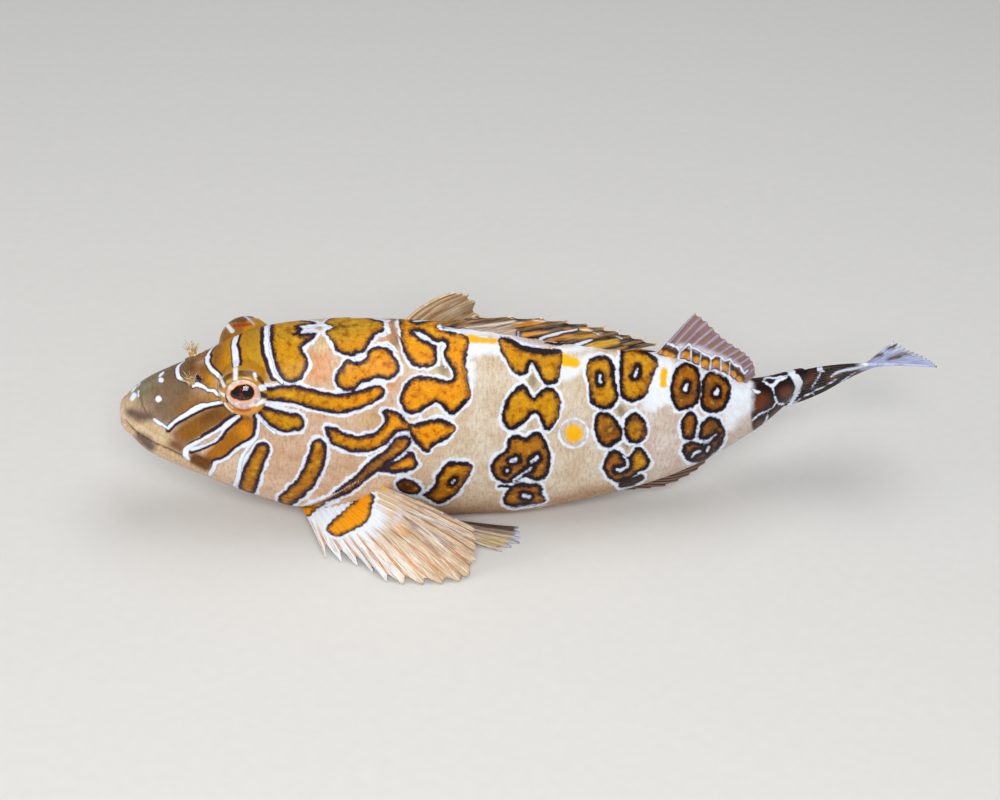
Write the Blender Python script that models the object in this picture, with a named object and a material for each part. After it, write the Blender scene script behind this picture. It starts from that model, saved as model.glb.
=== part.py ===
"""Giant hawkfish, Cirrhitus rivulatus, at life size, resting on its belly and its lower fin rays.

Lengths below are millimetres. The body's axis starts at the snout and runs along +X, the left
flank faces -Y, and heights are measured from that axis until rest_on_floor() moves the model.
"""

import math

import bmesh
import bpy
import numpy as np
from mathutils import Vector
from mathutils.bvhtree import BVHTree

MM = 0.001
GAP = 0.3
ROOT_GAP = 0.42
FLOOR = -52.4

STANDARD_LENGTH = 330.0
TORSO_END = 272.0

# Outlines of the straightened body: (station from the snout, height or half width)
BACK = [(0, 4), (2, 9.5), (6, 14), (13, 19.5), (25, 25.5), (37, 31), (49, 38), (60, 44),
        (84, 49.6), (106, 51.4), (130, 52), (156, 50.8), (183, 46.8), (209, 42.3), (228, 39.5),
        (247, 37), (257, 35), (267, 32.3), (276, 28.8), (289, 23.5), (301, 20.6), (314, 19.4),
        (330, 19.2)]
BELLY = [(0, 4), (2, -3), (6, -9.5), (13, -17), (25, -23.5), (37, -29), (49, -34.5), (60, -39.5),
         (84, -47.5), (106, -51.2), (135, -52.9), (183, -52.9), (209, -49.5), (238, -43),
         (257, -37), (276, -29.5), (289, -24.5), (301, -21), (314, -19.4), (330, -19)]
HALF_WIDTH = [(0, 0), (2, 7), (6, 11.5), (13, 15.5), (25, 19.5), (37, 22), (49, 24.3), (60, 26),
              (84, 29), (106, 30.5), (156, 30.5), (183, 29), (209, 26), (238, 22), (257, 19),
              (276, 15.5), (301, 10.5), (314, 8.2), (330, 5.5)]
WIDEST_HEIGHT = [(0, 4), (13, 3), (40, 1), (80, -2), (156, -3), (250, -1), (330, 0)]
# Below 1 a section is squarer than an ellipse, above 1 it narrows to a ridge
BACK_SQUARENESS = [(0, 1), (30, 0.85), (60, 0.78), (100, 0.86), (150, 1.08), (250, 1.15), (330, 1)]
BELLY_SQUARENESS = [(0, 1), (40, 0.85), (106, 0.8), (200, 0.85), (276, 1), (330, 1)]

# The tail swings away from the left side, and its top leans over to the left
TAIL_SWING_DEGREES = [(0, 0), (262, 0), (285, 10), (305, 27), (322, 36), (420, 34)]
TAIL_LEAN_DEGREES = [(0, 0), (262, 0), (280, 6), (300, 18), (315, 23), (330, 28), (420, 54)]

# Rear margin of the gill cover: (degrees from the midline of the back, station)
GILL_EDGE = [(0, 104), (30, 108), (46, 116), (62, 128), (77, 134), (93, 123), (110, 106),
             (140, 86), (165, 72), (180, 66)]
GILL_COVER_LIFT = 0.9
GILL_COVER_FADE = 7.0
# The head's hollow rear and the torso's front both run in to this station, a seam apart
SEAM_APEX = 100.0
SEAM = 1.5 * GAP
SNOUT_SHARES = (0.004, 0.012, 0.025, 0.045)

# Swelling of the head under each eye: (station, height), their spreads, and how far it stands out
ORBIT_SWELLING = (60.0, 29.0)
ORBIT_SPREAD = (17.0, 13.0)
ORBIT_SWELL = 5.0

# Line between the lips: (station, height), from the snout to the corner of the mouth
MOUTH = [(0, 3.5), (7, 1.2), (15, -2.6), (24, -6.2), (30, -9.6), (35, -13), (41, -15.8)]
MOUTH_CORNER = 40.0
MOUTH_DEPTH = 3.4
MOUTH_OPEN = 0.9
LIP_OFFSET = 2.4
LIP_THINNESS = 0.85
LIP_SINK = 0.35
UPPER_LIP = [(0, 2.3), (0.55, 1.7), (0.85, 2.3), (1, 0.9)]
LOWER_LIP = [(0, 2.1), (0.55, 1.8), (1, 0.8)]

# Nostrils: (station, degrees from the back); the front one carries a fringe
FRONT_NOSTRIL = (32.0, 22.0)
REAR_NOSTRIL = (38.5, 25.0)
NOSTRIL_RADIUS = 0.9
NOSTRIL_DEPTH = 2.2
NOSTRIL_CUT_TOP = 2.5
NOSTRIL_RIM = [(-1.5, 0), (-1.5, 2.4), (0.2, 2.2), (0.9, 1.7), (0.9, 0)]
FRINGE_LENGTHS = (3.0, 4.0, 4.6, 4.2, 3.4)
FRINGE_SETBACK = 1.6
FRINGE_SPACING = 0.8
FRINGE_SINK = 0.8
FRINGE_LEAN = 0.3
FRINGE_RADII = (0.5, 0.38, 0.2)

RING_POINTS = 36
EYE_PLACE = (58.6, 19.0, 29.7)
EYE_RADIUS = 11.5
EYE_TILT_UP = 13.0
EYE_TURN_FORWARD = 8.0
SOCKET_GAP = 0.45


def through(points, at):
    """Value at a station on a smooth curve through (station, value) points, with no overshoot."""
    x, y = np.array(points, float).T
    at = np.clip(np.asarray(at, float), x[0], x[-1])
    step = np.diff(x)
    rise = np.diff(y) / step
    slope = np.empty(len(x))
    slope[0], slope[-1] = rise[0], rise[-1]
    before, after = rise[:-1], rise[1:]
    first, second = 2 * step[1:] + step[:-1], step[1:] + 2 * step[:-1]
    turning = before * after <= 0
    steady = np.where(turning, 1, before), np.where(turning, 1, after)
    slope[1:-1] = np.where(turning, 0, (first + second) / (first / steady[0] + second / steady[1]))
    i = np.clip(np.searchsorted(x, at, side="right") - 1, 0, len(step) - 1)
    t = (at - x[i]) / step[i]
    lift = step[i] * (slope[i] * t * (1 - t) ** 2 - slope[i + 1] * t**2 * (1 - t))
    return y[i] * (1 + 2 * t) * (1 - t) ** 2 + y[i + 1] * t**2 * (3 - 2 * t) + lift


def axis_tables():
    """Stations along the body's axis, and the place of the axis at each."""
    stations = np.arange(0, 421.0)
    swing = np.radians(through(TAIL_SWING_DEGREES, stations[:-1] + 0.5))
    x = np.concatenate([[0], np.cumsum(np.cos(swing))])
    y = np.concatenate([[0], np.cumsum(np.sin(swing))])
    return stations, x, y


AXIS = axis_tables()


def in_body(station, left, up):
    """World place of a point beside the axis at a station, towards the fish's left and its back."""
    stations, axis_x, axis_y = AXIS
    swing = np.radians(through(TAIL_SWING_DEGREES, station))
    lean = np.radians(through(TAIL_LEAN_DEGREES, station))
    side = left * np.cos(lean) + up * np.sin(lean)
    x = np.interp(station, stations, axis_x) + side * np.sin(swing)
    y = np.interp(station, stations, axis_y) - side * np.cos(swing)
    z = up * np.cos(lean) - left * np.sin(lean)
    return np.stack(np.broadcast_arrays(x, y, z), axis=-1)


def body_surface(station, angle, lift=0.0):
    """A point of the skin at a station, at an angle turned from the back towards the left side."""
    station, angle = np.broadcast_arrays(np.asarray(station, float), angle)
    crest = through(WIDEST_HEIGHT, station)
    rising = np.cos(angle) > 0
    reach = np.where(rising, through(BACK, station) - crest, crest - through(BELLY, station))
    squareness = np.where(
        rising, through(BACK_SQUARENESS, station), through(BELLY_SQUARENESS, station)
    )
    side = np.sin(angle)
    width = through(HALF_WIDTH, station) + lift
    up = crest + (reach + lift) * np.cos(angle)
    along = (station - ORBIT_SWELLING[0]) / ORBIT_SPREAD[0]
    across = (up - ORBIT_SWELLING[1]) / ORBIT_SPREAD[1]
    width = width + ORBIT_SWELL * np.exp(-(along**2) - across**2)
    return in_body(station, width * np.sign(side) * np.abs(side) ** squareness, up)


def half_width_at(station, height):
    """Half width of the straightened body at a height above the axis."""
    crest = through(WIDEST_HEIGHT, station)
    above = height > crest
    reach = np.where(above, through(BACK, station) - crest, crest - through(BELLY, station))
    squareness = np.where(
        above, through(BACK_SQUARENESS, station), through(BELLY_SQUARENESS, station)
    )
    level = np.clip(np.abs(height - crest) / np.maximum(reach, 1e-6), 0, 1)
    return through(HALF_WIDTH, station) * np.sqrt(1 - level**2) ** squareness


def material(name, colour, roughness):
    made = bpy.data.materials.new(name)
    made.use_nodes = True
    shader = made.node_tree.nodes["Principled BSDF"]
    shader.inputs["Base Color"].default_value = (*colour, 1)
    shader.inputs["Roughness"].default_value = roughness
    shader.inputs["Metallic"].default_value = 0
    return made


def new_collection(name):
    made = bpy.data.collections.new(name)
    bpy.context.scene.collection.children.link(made)
    return made


def mesh_object(name, points, faces, collection):
    """A closed mesh with its faces turned outwards, from points in millimetres."""
    mesh = bpy.data.meshes.new(name)
    mesh.from_pydata((np.asarray(points) * MM).tolist(), [], faces)
    shape = bmesh.new()
    shape.from_mesh(mesh)
    bmesh.ops.recalc_face_normals(shape, faces=shape.faces)
    shape.to_mesh(mesh)
    shape.free()
    mesh.shade_smooth()
    made = bpy.data.objects.new(name, mesh)
    collection.objects.link(made)
    return made


def loft(name, rings, collection, start_point=None, end_point=None):
    """A closed skin over rings of points, with a fan to a point at each end."""
    rows, around, _ = rings.shape
    points = rings.reshape(-1, 3).tolist()
    faces = []
    for row in range(rows - 1):
        for k in range(around):
            a, b = row * around + k, row * around + (k + 1) % around
            faces.append((a, b, b + around, a + around))
    for row, centre in ((0, start_point), (rows - 1, end_point)):
        if centre is None:
            centre = rings[row].mean(axis=0)
        points.append(list(centre))
        for k in range(around):
            edge = row * around + k, row * around + (k + 1) % around
            faces.append((*(edge[::-1] if row == 0 else edge), len(points) - 1))
    return mesh_object(name, points, faces, collection)


def ring_angles():
    return np.arange(RING_POINTS) * 2 * math.pi / RING_POINTS


def gill_edge(angle):
    degrees = np.degrees(angle) % 360
    return through(GILL_EDGE, np.where(degrees > 180, 360 - degrees, degrees))


def on_floor(points):
    """The same points with none below the floor, which leaves small flats."""
    points = np.array(points)
    points[..., 2] = np.maximum(points[..., 2], FLOOR)
    return points


def head_shell(collection):
    """From the snout to the rear margin of the gill cover, whose edge stands proud."""
    angle = ring_angles()
    edge = gill_edge(angle)
    shares = np.concatenate([SNOUT_SHARES, np.linspace(0.07, 1, 22)])
    rings = []
    for share in shares:
        station = share * edge
        lift = GILL_COVER_LIFT * np.exp((station - edge) / GILL_COVER_FADE)
        lift = lift * np.clip(np.sin(angle) ** 2 * 2, 0, 1)
        rings.append(body_surface(station, angle, lift))
    snout = body_surface(0.0, 0.0)
    return loft("head", on_floor(rings), collection, start_point=snout, end_point=(SEAM_APEX, 0, 0))


def torso_shell(collection):
    angle = ring_angles()
    edge = gill_edge(angle) + SEAM
    rings = [body_surface(edge + share * (TORSO_END - edge), angle) for share in np.linspace(0, 1, 20)]
    return loft("torso", on_floor(rings), collection, start_point=(SEAM_APEX + SEAM, 0, 0))


def tail_shell(collection):
    angle = ring_angles()
    stations = np.linspace(TORSO_END + GAP, STANDARD_LENGTH, 9)
    rings = [body_surface(station, angle) for station in stations]
    return loft("tail", on_floor(rings), collection)


def eye_centre(side):
    station, out, height = EYE_PLACE
    return Vector((station, -side * out, height))


def eye_direction(side):
    """Where an eye looks: out to its side, a little up and forward."""
    up, forward = math.radians(EYE_TILT_UP), math.radians(EYE_TURN_FORWARD)
    level = math.cos(up)
    return Vector((-level * math.sin(forward), -side * level * math.cos(forward), math.sin(up)))


def turned(name, profile, centre, direction, collection, segments=24):
    """A closed shape turned about a line: profile is (distance along, radius) with radius 0 ends."""
    axis = Vector(direction).normalized()
    across = axis.orthogonal().normalized()
    other = axis.cross(across)
    rings = []
    for along, radius in profile[1:-1]:
        ring = []
        for k in range(segments):
            turn = 2 * math.pi * k / segments
            spoke = across * math.cos(turn) + other * math.sin(turn)
            ring.append(Vector(centre) + axis * along + spoke * radius)
        rings.append(ring)
    ends = [Vector(centre) + axis * profile[i][0] for i in (0, -1)]
    return loft(name, np.array(rings), collection, ends[0], ends[1])


def ball_profile(radius, steps=10):
    turns = [math.pi * k / steps for k in range(steps + 1)]
    return [(-radius * math.cos(turn), radius * math.sin(turn)) for turn in turns]


# Raised rim round an eye: (distance from the eye's centre along its direction, radius)
ORBIT_PROFILE = [(-9, 0), (-9, 9), (-3, 11.9), (3, 12.1), (6.6, 11.8), (8.2, 11), (8.9, 10),
                 (8.8, 8.8), (6, 6), (6, 0)]


def eye_parts(side_name, side, parts, cutters, solids):
    centre, direction = eye_centre(side), eye_direction(side)
    turned(f"orbit_{side_name}", ORBIT_PROFILE, centre, direction, solids)
    turned(f"socket_{side_name}", ball_profile(EYE_RADIUS + SOCKET_GAP), centre, direction, cutters)
    return turned(f"eye_{side_name}", ball_profile(EYE_RADIUS), centre, direction, parts)


def lip_line(offset, steps=13):
    """Points on the head's skin above or below the line of the mouth, from its left corner round."""
    stations = np.linspace(0, MOUTH_CORNER, 400)
    heights = through(MOUTH, stations) + offset
    inside = (heights < through(BACK, stations)) & (heights > through(BELLY, stations))
    start = stations[np.argmax(inside)]
    along = start + (MOUTH_CORNER - start) * np.linspace(0, 1, steps) ** 1.5
    height = through(MOUTH, along) + offset
    width = half_width_at(along, height)
    width[0] = 0
    left = np.stack([along, -width, height], axis=-1)
    right = np.stack([along, width, height], axis=-1)
    line = np.concatenate([left[::-1], right[1:]])
    heading = np.gradient(line[:, :2], axis=0)
    outward = np.stack([-heading[:, 1], heading[:, 0], np.zeros(len(line))], axis=-1)
    outward *= np.sign(-outward[steps - 1, 0])
    return line, outward / np.linalg.norm(outward, axis=1, keepdims=True)


def lip(name, offset, sizes, collection):
    """A rounded welt along the mouth, widest in front, its back half sunk in the head."""
    line, outward = lip_line(offset)
    middle = (len(line) - 1) / 2
    rings = []
    for k, (point, out) in enumerate(zip(line, outward)):
        radius = through(sizes, abs(k - middle) / middle)
        ring = []
        for corner in range(8):
            turn = math.pi / 4 * corner
            rise = np.array([0, 0, math.sin(turn) * radius])
            ring.append(point + out * radius * (math.cos(turn) * LIP_THINNESS - LIP_SINK) + rise)
        rings.append(ring)
    return loft(name, np.array(rings), collection)


def mouth_cutter(collection):
    """A thin curved band along the mouth that cuts the gap between the lips."""
    line, outward = lip_line(0.0)
    share = np.abs(np.linspace(-1, 1, len(line)))
    inner = line - outward * (MOUTH_DEPTH * (1 - 0.6 * share**3))[:, None]
    outer = line + outward * 6
    rise = np.array([0, 0, 1]) * (MOUTH_OPEN / 2 * (1 - 0.5 * share**3))[:, None]
    rings = np.stack([inner + rise, outer + rise, outer - rise, inner - rise], axis=1)
    return loft("mouth_gap", rings, collection)


def skin_frame(station, degrees, side):
    """Place and outward direction of the skin at an angle from the back, on one side."""
    angle = side * math.radians(degrees)
    place = body_surface(station, angle)
    along = body_surface(station + 0.5, angle) - body_surface(station - 0.5, angle)
    around = body_surface(station, angle + 0.02 * side) - body_surface(station, angle - 0.02 * side)
    outward = np.cross(around, along) * side
    return Vector(place), Vector(outward / np.linalg.norm(outward))


def nostrils(side_name, side, cutters, solids):
    """Two nostrils on one side: the front one has a raised rim and a fringe on its rear edge."""
    hole = [(-NOSTRIL_DEPTH, 0), (-NOSTRIL_DEPTH, NOSTRIL_RADIUS), (NOSTRIL_CUT_TOP, NOSTRIL_RADIUS),
            (NOSTRIL_CUT_TOP, 0)]
    place, outward = skin_frame(*FRONT_NOSTRIL, side)
    turned(f"nostril_rim_{side_name}", NOSTRIL_RIM, place, outward, solids, 12)
    turned(f"nostril_{side_name}", hole, place, outward, cutters, 8)
    rear_place, rear_outward = skin_frame(*REAR_NOSTRIL, side)
    turned(f"rear_nostril_{side_name}", hole, rear_place, rear_outward, cutters, 8)
    back = (Vector((1, 0, 0)) - outward * outward.x).normalized()
    across = outward.cross(back)
    wide, middle, thin = FRINGE_RADII
    for k, length in enumerate(FRINGE_LENGTHS):
        spread = k - (len(FRINGE_LENGTHS) - 1) / 2
        root = place + back * (FRINGE_SETBACK - 0.2 * abs(spread))
        root = root + across * spread * FRINGE_SPACING - outward * FRINGE_SINK
        lean = (outward + across * spread * FRINGE_LEAN + back * FRINGE_LEAN).normalized()
        end = length + FRINGE_SINK
        profile = [(0, 0), (0, wide), (0.6 * length, middle), (end, thin), (end, 0)]
        turned(f"fringe_{side_name}_{k}", profile, root, lean, solids, 5)


def fan(keys, count, rows):
    """Centre lines of fin rays, from (share of the fin, root, bend, tip) keys."""
    shares = [key[0] for key in keys]
    at = np.linspace(0, 1, count)
    corners = []
    for place in (1, 2, 3):
        values = np.array([key[place] for key in keys], float)
        columns = [through(list(zip(shares, values[:, k])), at) for k in range(3)]
        corners.append(np.stack(columns, axis=-1)[:, None, :])
    root, bend, tip = corners
    t = np.linspace(0, 1, rows + 1)[None, :, None]
    return root * (1 - t) ** 2 + 2 * bend * t * (1 - t) + tip * t**2


def between_rays(rays, notch):
    """Rays with the membrane's middle line added between each two, ending short by its notch."""
    count, rows, _ = rays.shape
    notches = np.interp(np.linspace(0, 1, count - 1), np.linspace(0, 1, len(notch)), notch)
    lines = np.empty((2 * count - 1, rows, 3))
    lines[::2] = rays
    middle = (rays[1:] + rays[:-1]) / 2
    t = np.linspace(0, 1, rows)
    for k in range(count - 1):
        kept = t * (1 - notches[k] * t**2)
        for axis in range(3):
            lines[2 * k + 1, :, axis] = np.interp(kept, t, middle[k, :, axis])
    return lines


def fin(name, rays, thickness, collection, body, notch=(0.06, 0.06)):
    """A fin as one closed sheet: rays stand out of the membrane, and the root lies on the body.

    thickness gives (ray at root, ray at tip, membrane at root, membrane at tip), and notch gives
    how far the membrane falls short of the ray tips, from the first ray to the last.
    """
    lines = between_rays(rays, notch)
    columns, rows, _ = lines.shape
    normal = np.cross(np.gradient(lines, axis=0), np.gradient(lines, axis=1))
    normal /= np.maximum(np.linalg.norm(normal, axis=2, keepdims=True), 1e-9)
    t = np.linspace(0, 1, rows)
    half = np.empty((columns, rows))
    half[::2] = (thickness[0] + (thickness[1] - thickness[0]) * t) / 2
    half[1::2] = (thickness[2] + (thickness[3] - thickness[2]) * t) / 2
    lines = clear_of(lines, body, half + 1.4 * GAP)
    faces_of = []
    for side in (1, -1):
        sheet = lines + side * normal * half[..., None]
        sheet[:, 0] = [on_body(point, body) for point in sheet[:, 0]]
        faces_of.append(on_floor(sheet))
    points = np.concatenate([sheet.reshape(-1, 3) for sheet in faces_of])
    return mesh_object(name, points, sheet_faces(columns, rows), collection)


def sheet_faces(columns, rows):
    """Triangles of two like sheets back to back, split the same way, with closed edges."""
    back = columns * rows
    faces = []
    for c in range(columns - 1):
        for r in range(rows - 1):
            a, b = c * rows + r, (c + 1) * rows + r
            faces += [(a, b, b + 1), (a, b + 1, a + 1)]
            faces += [(back + a, back + b + 1, back + b), (back + a, back + a + 1, back + b + 1)]
    rim = [c * rows for c in range(columns)]
    rim += [(columns - 1) * rows + r for r in range(1, rows)]
    rim += [c * rows + rows - 1 for c in range(columns - 2, -1, -1)]
    rim += [r for r in range(rows - 2, 0, -1)]
    for a, b in zip(rim, rim[1:] + rim[:1]):
        faces += [(a, back + b, b), (a, back + a, back + b)]
    return faces


def clear_of(lines, body, distance):
    """The same points, with any that is nearer to the body than its distance moved off it."""
    moved = lines.copy()
    for index in np.ndindex(distance.shape):
        place, normal, _, _ = body.find_nearest(Vector(lines[index]))
        if (Vector(lines[index]) - place).dot(normal) < distance[index]:
            moved[index] = place + normal * distance[index]
    moved[:, 0] = lines[:, 0]
    return moved


def on_body(point, body):
    """The nearest place on the body, lifted off it by a little over the gap."""
    place, normal, _, _ = body.find_nearest(Vector(point))
    return np.array(place + normal * ROOT_GAP)


def tree_of(objects):
    """The skins of several objects as one search tree, in millimetres."""
    points, faces = [], []
    for obj in objects:
        start = len(points)
        points += [vertex.co / MM for vertex in obj.data.vertices]
        faces += [[start + k for k in face.vertices] for face in obj.data.polygons]
    return BVHTree.FromPolygons(points, faces)


# Pectoral fins: (share from the upper ray, root, bend, tip), y positive outwards
PECTORAL_LEFT = [
    (0, (124, 29.5, -20), (140, 46, -16), (164.5, 52, -27)),
    (0.2, (116, 27, -26), (140, 48, -22), (166, 52.5, -42)),
    (0.35, (110, 25, -31), (134, 48, -28), (160.5, 59.5, -52)),
    (0.5, (104.5, 23, -34), (122, 47, -33), (145, 62.5, -52)),
    (0.65, (99, 20.5, -37), (111, 43, -37), (128, 62, -52)),
    (0.8, (93, 18, -40), (102, 36, -41), (115, 51, -52)),
    (1, (85, 14, -44), (90, 27, -45), (95.5, 43, -52)),
]
PECTORAL_RIGHT = [
    (0, (124, 29.5, -20), (122, 62, 18), (161, 63, 30)),
    (0.15, (118, 27.5, -24), (126, 63, 12), (168, 66, 27)),
    (0.35, (110, 25, -31), (130, 60, -8), (176, 76, 2)),
    (0.55, (103, 22, -35), (122, 56, -24), (164, 78, -30)),
    (0.72, (96, 19, -38.5), (110, 47, -34), (142, 70, -52)),
    (0.86, (90.5, 17, -41), (99, 38, -40), (118, 56, -52)),
    (1, (85, 14, -44), (90, 27, -45), (97, 43, -52)),
]
PELVIC = [
    (0, (132, 19.5, -45.5), (150, 30, -46), (180, 39, -52)),
    (0.5, (136, 17.5, -46.5), (156, 26, -48), (190, 31, -52)),
    (1, (140, 15.5, -47.5), (160, 20, -50), (190, 21, -52)),
]
# Thicknesses of fins: (ray at root, ray at tip, membrane at root, membrane at tip)
PECTORAL_RAYS = 14
PECTORAL_THICKNESS = (3.2, 1.0, 2.2, 0.6)
PECTORAL_NOTCH = (0.04, 0.04, 0.12, 0.28)
PELVIC_RAYS = 6
PELVIC_THICKNESS = (2.0, 0.9, 1.3, 0.6)
PELVIC_NOTCH = (0.2, 0.05)


def sided(keys, side):
    """Keys of a paired fin on one side: 1 is the left, at negative y."""
    placed = []
    for share, *places in keys:
        placed.append((share, *[(x, -side * y, z) for x, y, z in places]))
    return placed


# Folded spiny part of the dorsal fin
SPINE_LENGTHS = (18, 25, 30, 31, 31, 29, 26, 22, 18, 14)
SPINE_BASE = (146.0, 237.0)
SPINE_RISE_DEGREES = 22.0
SPINE_THICKNESS = (2.4, 0.7, 1.2, 0.6)
SPINE_NOTCH = (0.25, 0.2)

# Raised soft part: (share, station of the root, station and height above the back of the tip)
SOFT_RAYS = 11
SOFT_BASE = (252.0, 295.0)
SOFT_TIPS = [(0, 267, 27.5), (0.15, 272, 26), (0.4, 281, 21.5), (0.65, 290, 19), (0.85, 295, 14),
             (1, 298, 6)]
SOFT_THICKNESS = (2.2, 0.8, 1.3, 0.6)
SOFT_NOTCH = (0.05, 0.08)

ANAL_RAYS = 9
ANAL_BASE = (232.0, 268.0)
ANAL_TIPS = [(0, 250, -6), (0.3, 268, -10), (0.6, 282, -11), (0.85, 289, -8.5), (1, 290, -5)]
ANAL_THICKNESS = (2.4, 0.8, 1.5, 0.6)
ANAL_NOTCH = (0.15, 0.05)


def spiny_dorsal_rays(rows):
    """Spines laid back almost along the ridge of the back, one behind another."""
    rays = []
    bases = np.linspace(*SPINE_BASE, len(SPINE_LENGTHS))
    for base, length in zip(bases, SPINE_LENGTHS):
        slope = math.atan2(through(BACK, base + length) - through(BACK, base), length)
        rise = slope + math.radians(SPINE_RISE_DEGREES)
        along = np.linspace(0, 1, rows + 1) * length
        stations = base + along * math.cos(rise)
        heights = through(BACK, base) + along * math.sin(rise)
        rays.append(in_body(stations, 0.0, heights))
    return np.array(rays)


def median_rays(outline, base, tips, count, rows):
    """Rays of a fin on the midline, from its base along an outline to tips set off from it."""
    rays = []
    for share in np.linspace(0, 1, count):
        root = base[0] + share * (base[1] - base[0])
        tip = through([(key[0], key[1]) for key in tips], share)
        reach = through([(key[0], key[2]) for key in tips], share)
        t = np.linspace(0, 1, rows + 1)
        stations = root + (tip - root) * t
        start, end = through(outline, root), through(outline, tip) + reach
        rays.append(in_body(stations, 0.0, start + (end - start) * t))
    return np.array(rays)


# Caudal fin: (share from the top ray, root height on the body's end, bend, tip)
CAUDAL_RAYS = 13
CAUDAL_THICKNESS = (2.6, 0.9, 1.7, 0.6)
CAUDAL_NOTCH = (0.04, 0.04)
CAUDAL_KEYS = [
    (0, 17, (350, 9.5, 26.5), (394.5, 10, 22)),
    (0.25, 10, (350.5, 16, 18), (394, 18.5, 19.5)),
    (0.5, 0, (354, 25, 7), (391, 28, 17)),
    (0.75, -10, (353, 28, -3), (387.5, 37.5, 14)),
    (1, -17, (349, 29, -12.5), (384, 46, 13)),
]


def caudal_rays(count, rows):
    keys = []
    for share, height, bend, tip in CAUDAL_KEYS:
        keys.append((share, in_body(STANDARD_LENGTH + GAP, 0.0, height), bend, tip))
    return fan(keys, count, rows)


def clear_scene():
    for obj in list(bpy.data.objects):
        bpy.data.objects.remove(obj, do_unlink=True)


def boolean(target, operation, collection):
    """Join or cut an object with every object of a collection, and keep its largest surface."""
    modifier = target.modifiers.new(operation.title(), "BOOLEAN")
    modifier.operation = operation
    modifier.operand_type = "COLLECTION"
    modifier.collection = collection
    modifier.solver = "MANIFOLD"
    bpy.context.view_layer.update()
    shape = bpy.data.meshes.new_from_object(
        target.evaluated_get(bpy.context.evaluated_depsgraph_get())
    )
    target.modifiers.clear()
    target.data = shape
    keep_largest(shape)


def keep_largest(mesh):
    """Deletes every separate surface of a mesh but the one with the most vertices."""
    shape = bmesh.new()
    shape.from_mesh(mesh)
    left = set(shape.verts)
    groups = []
    while left:
        group, front = set(), [left.pop()]
        while front:
            vertex = front.pop()
            group.add(vertex)
            near = {edge.other_vert(vertex) for edge in vertex.link_edges} & left
            left -= near
            front += near
        groups.append(group)
    groups.sort(key=len)
    for group in groups[:-1]:
        bmesh.ops.delete(shape, geom=list(group), context="VERTS")
    shape.to_mesh(mesh)
    shape.free()


def rest_on_floor(objects):
    """Puts the origin on the floor under the middle of the model's box."""
    points = np.array([vertex.co for obj in objects for vertex in obj.data.vertices])
    low, high = points.min(axis=0), points.max(axis=0)
    shift = Vector((-(low[0] + high[0]) / 2, -(low[1] + high[1]) / 2, -low[2]))
    for obj in objects:
        for vertex in obj.data.vertices:
            vertex.co += shift


def build():
    clear_scene()
    parts = new_collection("giant_hawkfish")
    cutters = new_collection("cutters")
    solids = new_collection("joined")

    head = head_shell(parts)
    torso = torso_shell(parts)
    tail = tail_shell(parts)
    body = tree_of([head, torso, tail])

    for side_name, side in (("left", 1), ("right", -1)):
        eye_parts(side_name, side, parts, cutters, solids)
        nostrils(side_name, side, cutters, solids)
    lip("upper_lip", LIP_OFFSET, UPPER_LIP, solids)
    lip("lower_lip", -LIP_OFFSET, LOWER_LIP, solids)
    mouth_cutter(cutters)
    boolean(head, "UNION", solids)
    boolean(head, "DIFFERENCE", cutters)

    for side_name, side, keys in (("left", 1, PECTORAL_LEFT), ("right", -1, PECTORAL_RIGHT)):
        rays = fan(sided(keys, side), PECTORAL_RAYS, 7)
        fin(f"pectoral_fin_{side_name}", rays, PECTORAL_THICKNESS, parts, body, PECTORAL_NOTCH)
        rays = fan(sided(PELVIC, side), PELVIC_RAYS, 6)
        fin(f"pelvic_fin_{side_name}", rays, PELVIC_THICKNESS, parts, body, PELVIC_NOTCH)
    fin("dorsal_fin_spiny", spiny_dorsal_rays(5), SPINE_THICKNESS, parts, body, SPINE_NOTCH)
    soft = median_rays(BACK, SOFT_BASE, SOFT_TIPS, SOFT_RAYS, 5)
    fin("dorsal_fin_soft", soft, SOFT_THICKNESS, parts, body, SOFT_NOTCH)
    anal = median_rays(BELLY, ANAL_BASE, ANAL_TIPS, ANAL_RAYS, 5)
    fin("anal_fin", anal, ANAL_THICKNESS, parts, body, ANAL_NOTCH)
    caudal = caudal_rays(CAUDAL_RAYS, 7)
    fin("caudal_fin", caudal, CAUDAL_THICKNESS, parts, body, CAUDAL_NOTCH)

    for collection in (solids, cutters):
        for obj in list(collection.objects):
            bpy.data.objects.remove(obj, do_unlink=True)
        bpy.data.collections.remove(collection)
    rest_on_floor(list(parts.objects))
    colours = {"eye": ((0.6, 0.42, 0.36), 0.2), "fin": ((0.7, 0.55, 0.38), 0.5)}
    for obj in parts.objects:
        kind = next((word for word in colours if word in obj.name), None)
        colour, roughness = colours.get(kind, ((0.62, 0.48, 0.34), 0.45))
        obj.data.materials.clear()
        obj.data.materials.append(material(obj.name, colour, roughness))


build()
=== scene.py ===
"""Looks of the giant hawkfish model: patterned skin, eyes, rayed fins, studio and camera.

Lengths are millimetres along the straightened body until rebuilt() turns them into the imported
frame's metres: the snout is at 0 on +X, the left flank faces -Y, heights start at the body's axis.
Marks on the skin are strokes (x, y, radius) in the photo's pixels, seen through the same camera.
"""

import math

import bpy
import numpy as np
from mathutils import Matrix, Vector
from mathutils.bvhtree import BVHTree


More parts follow.
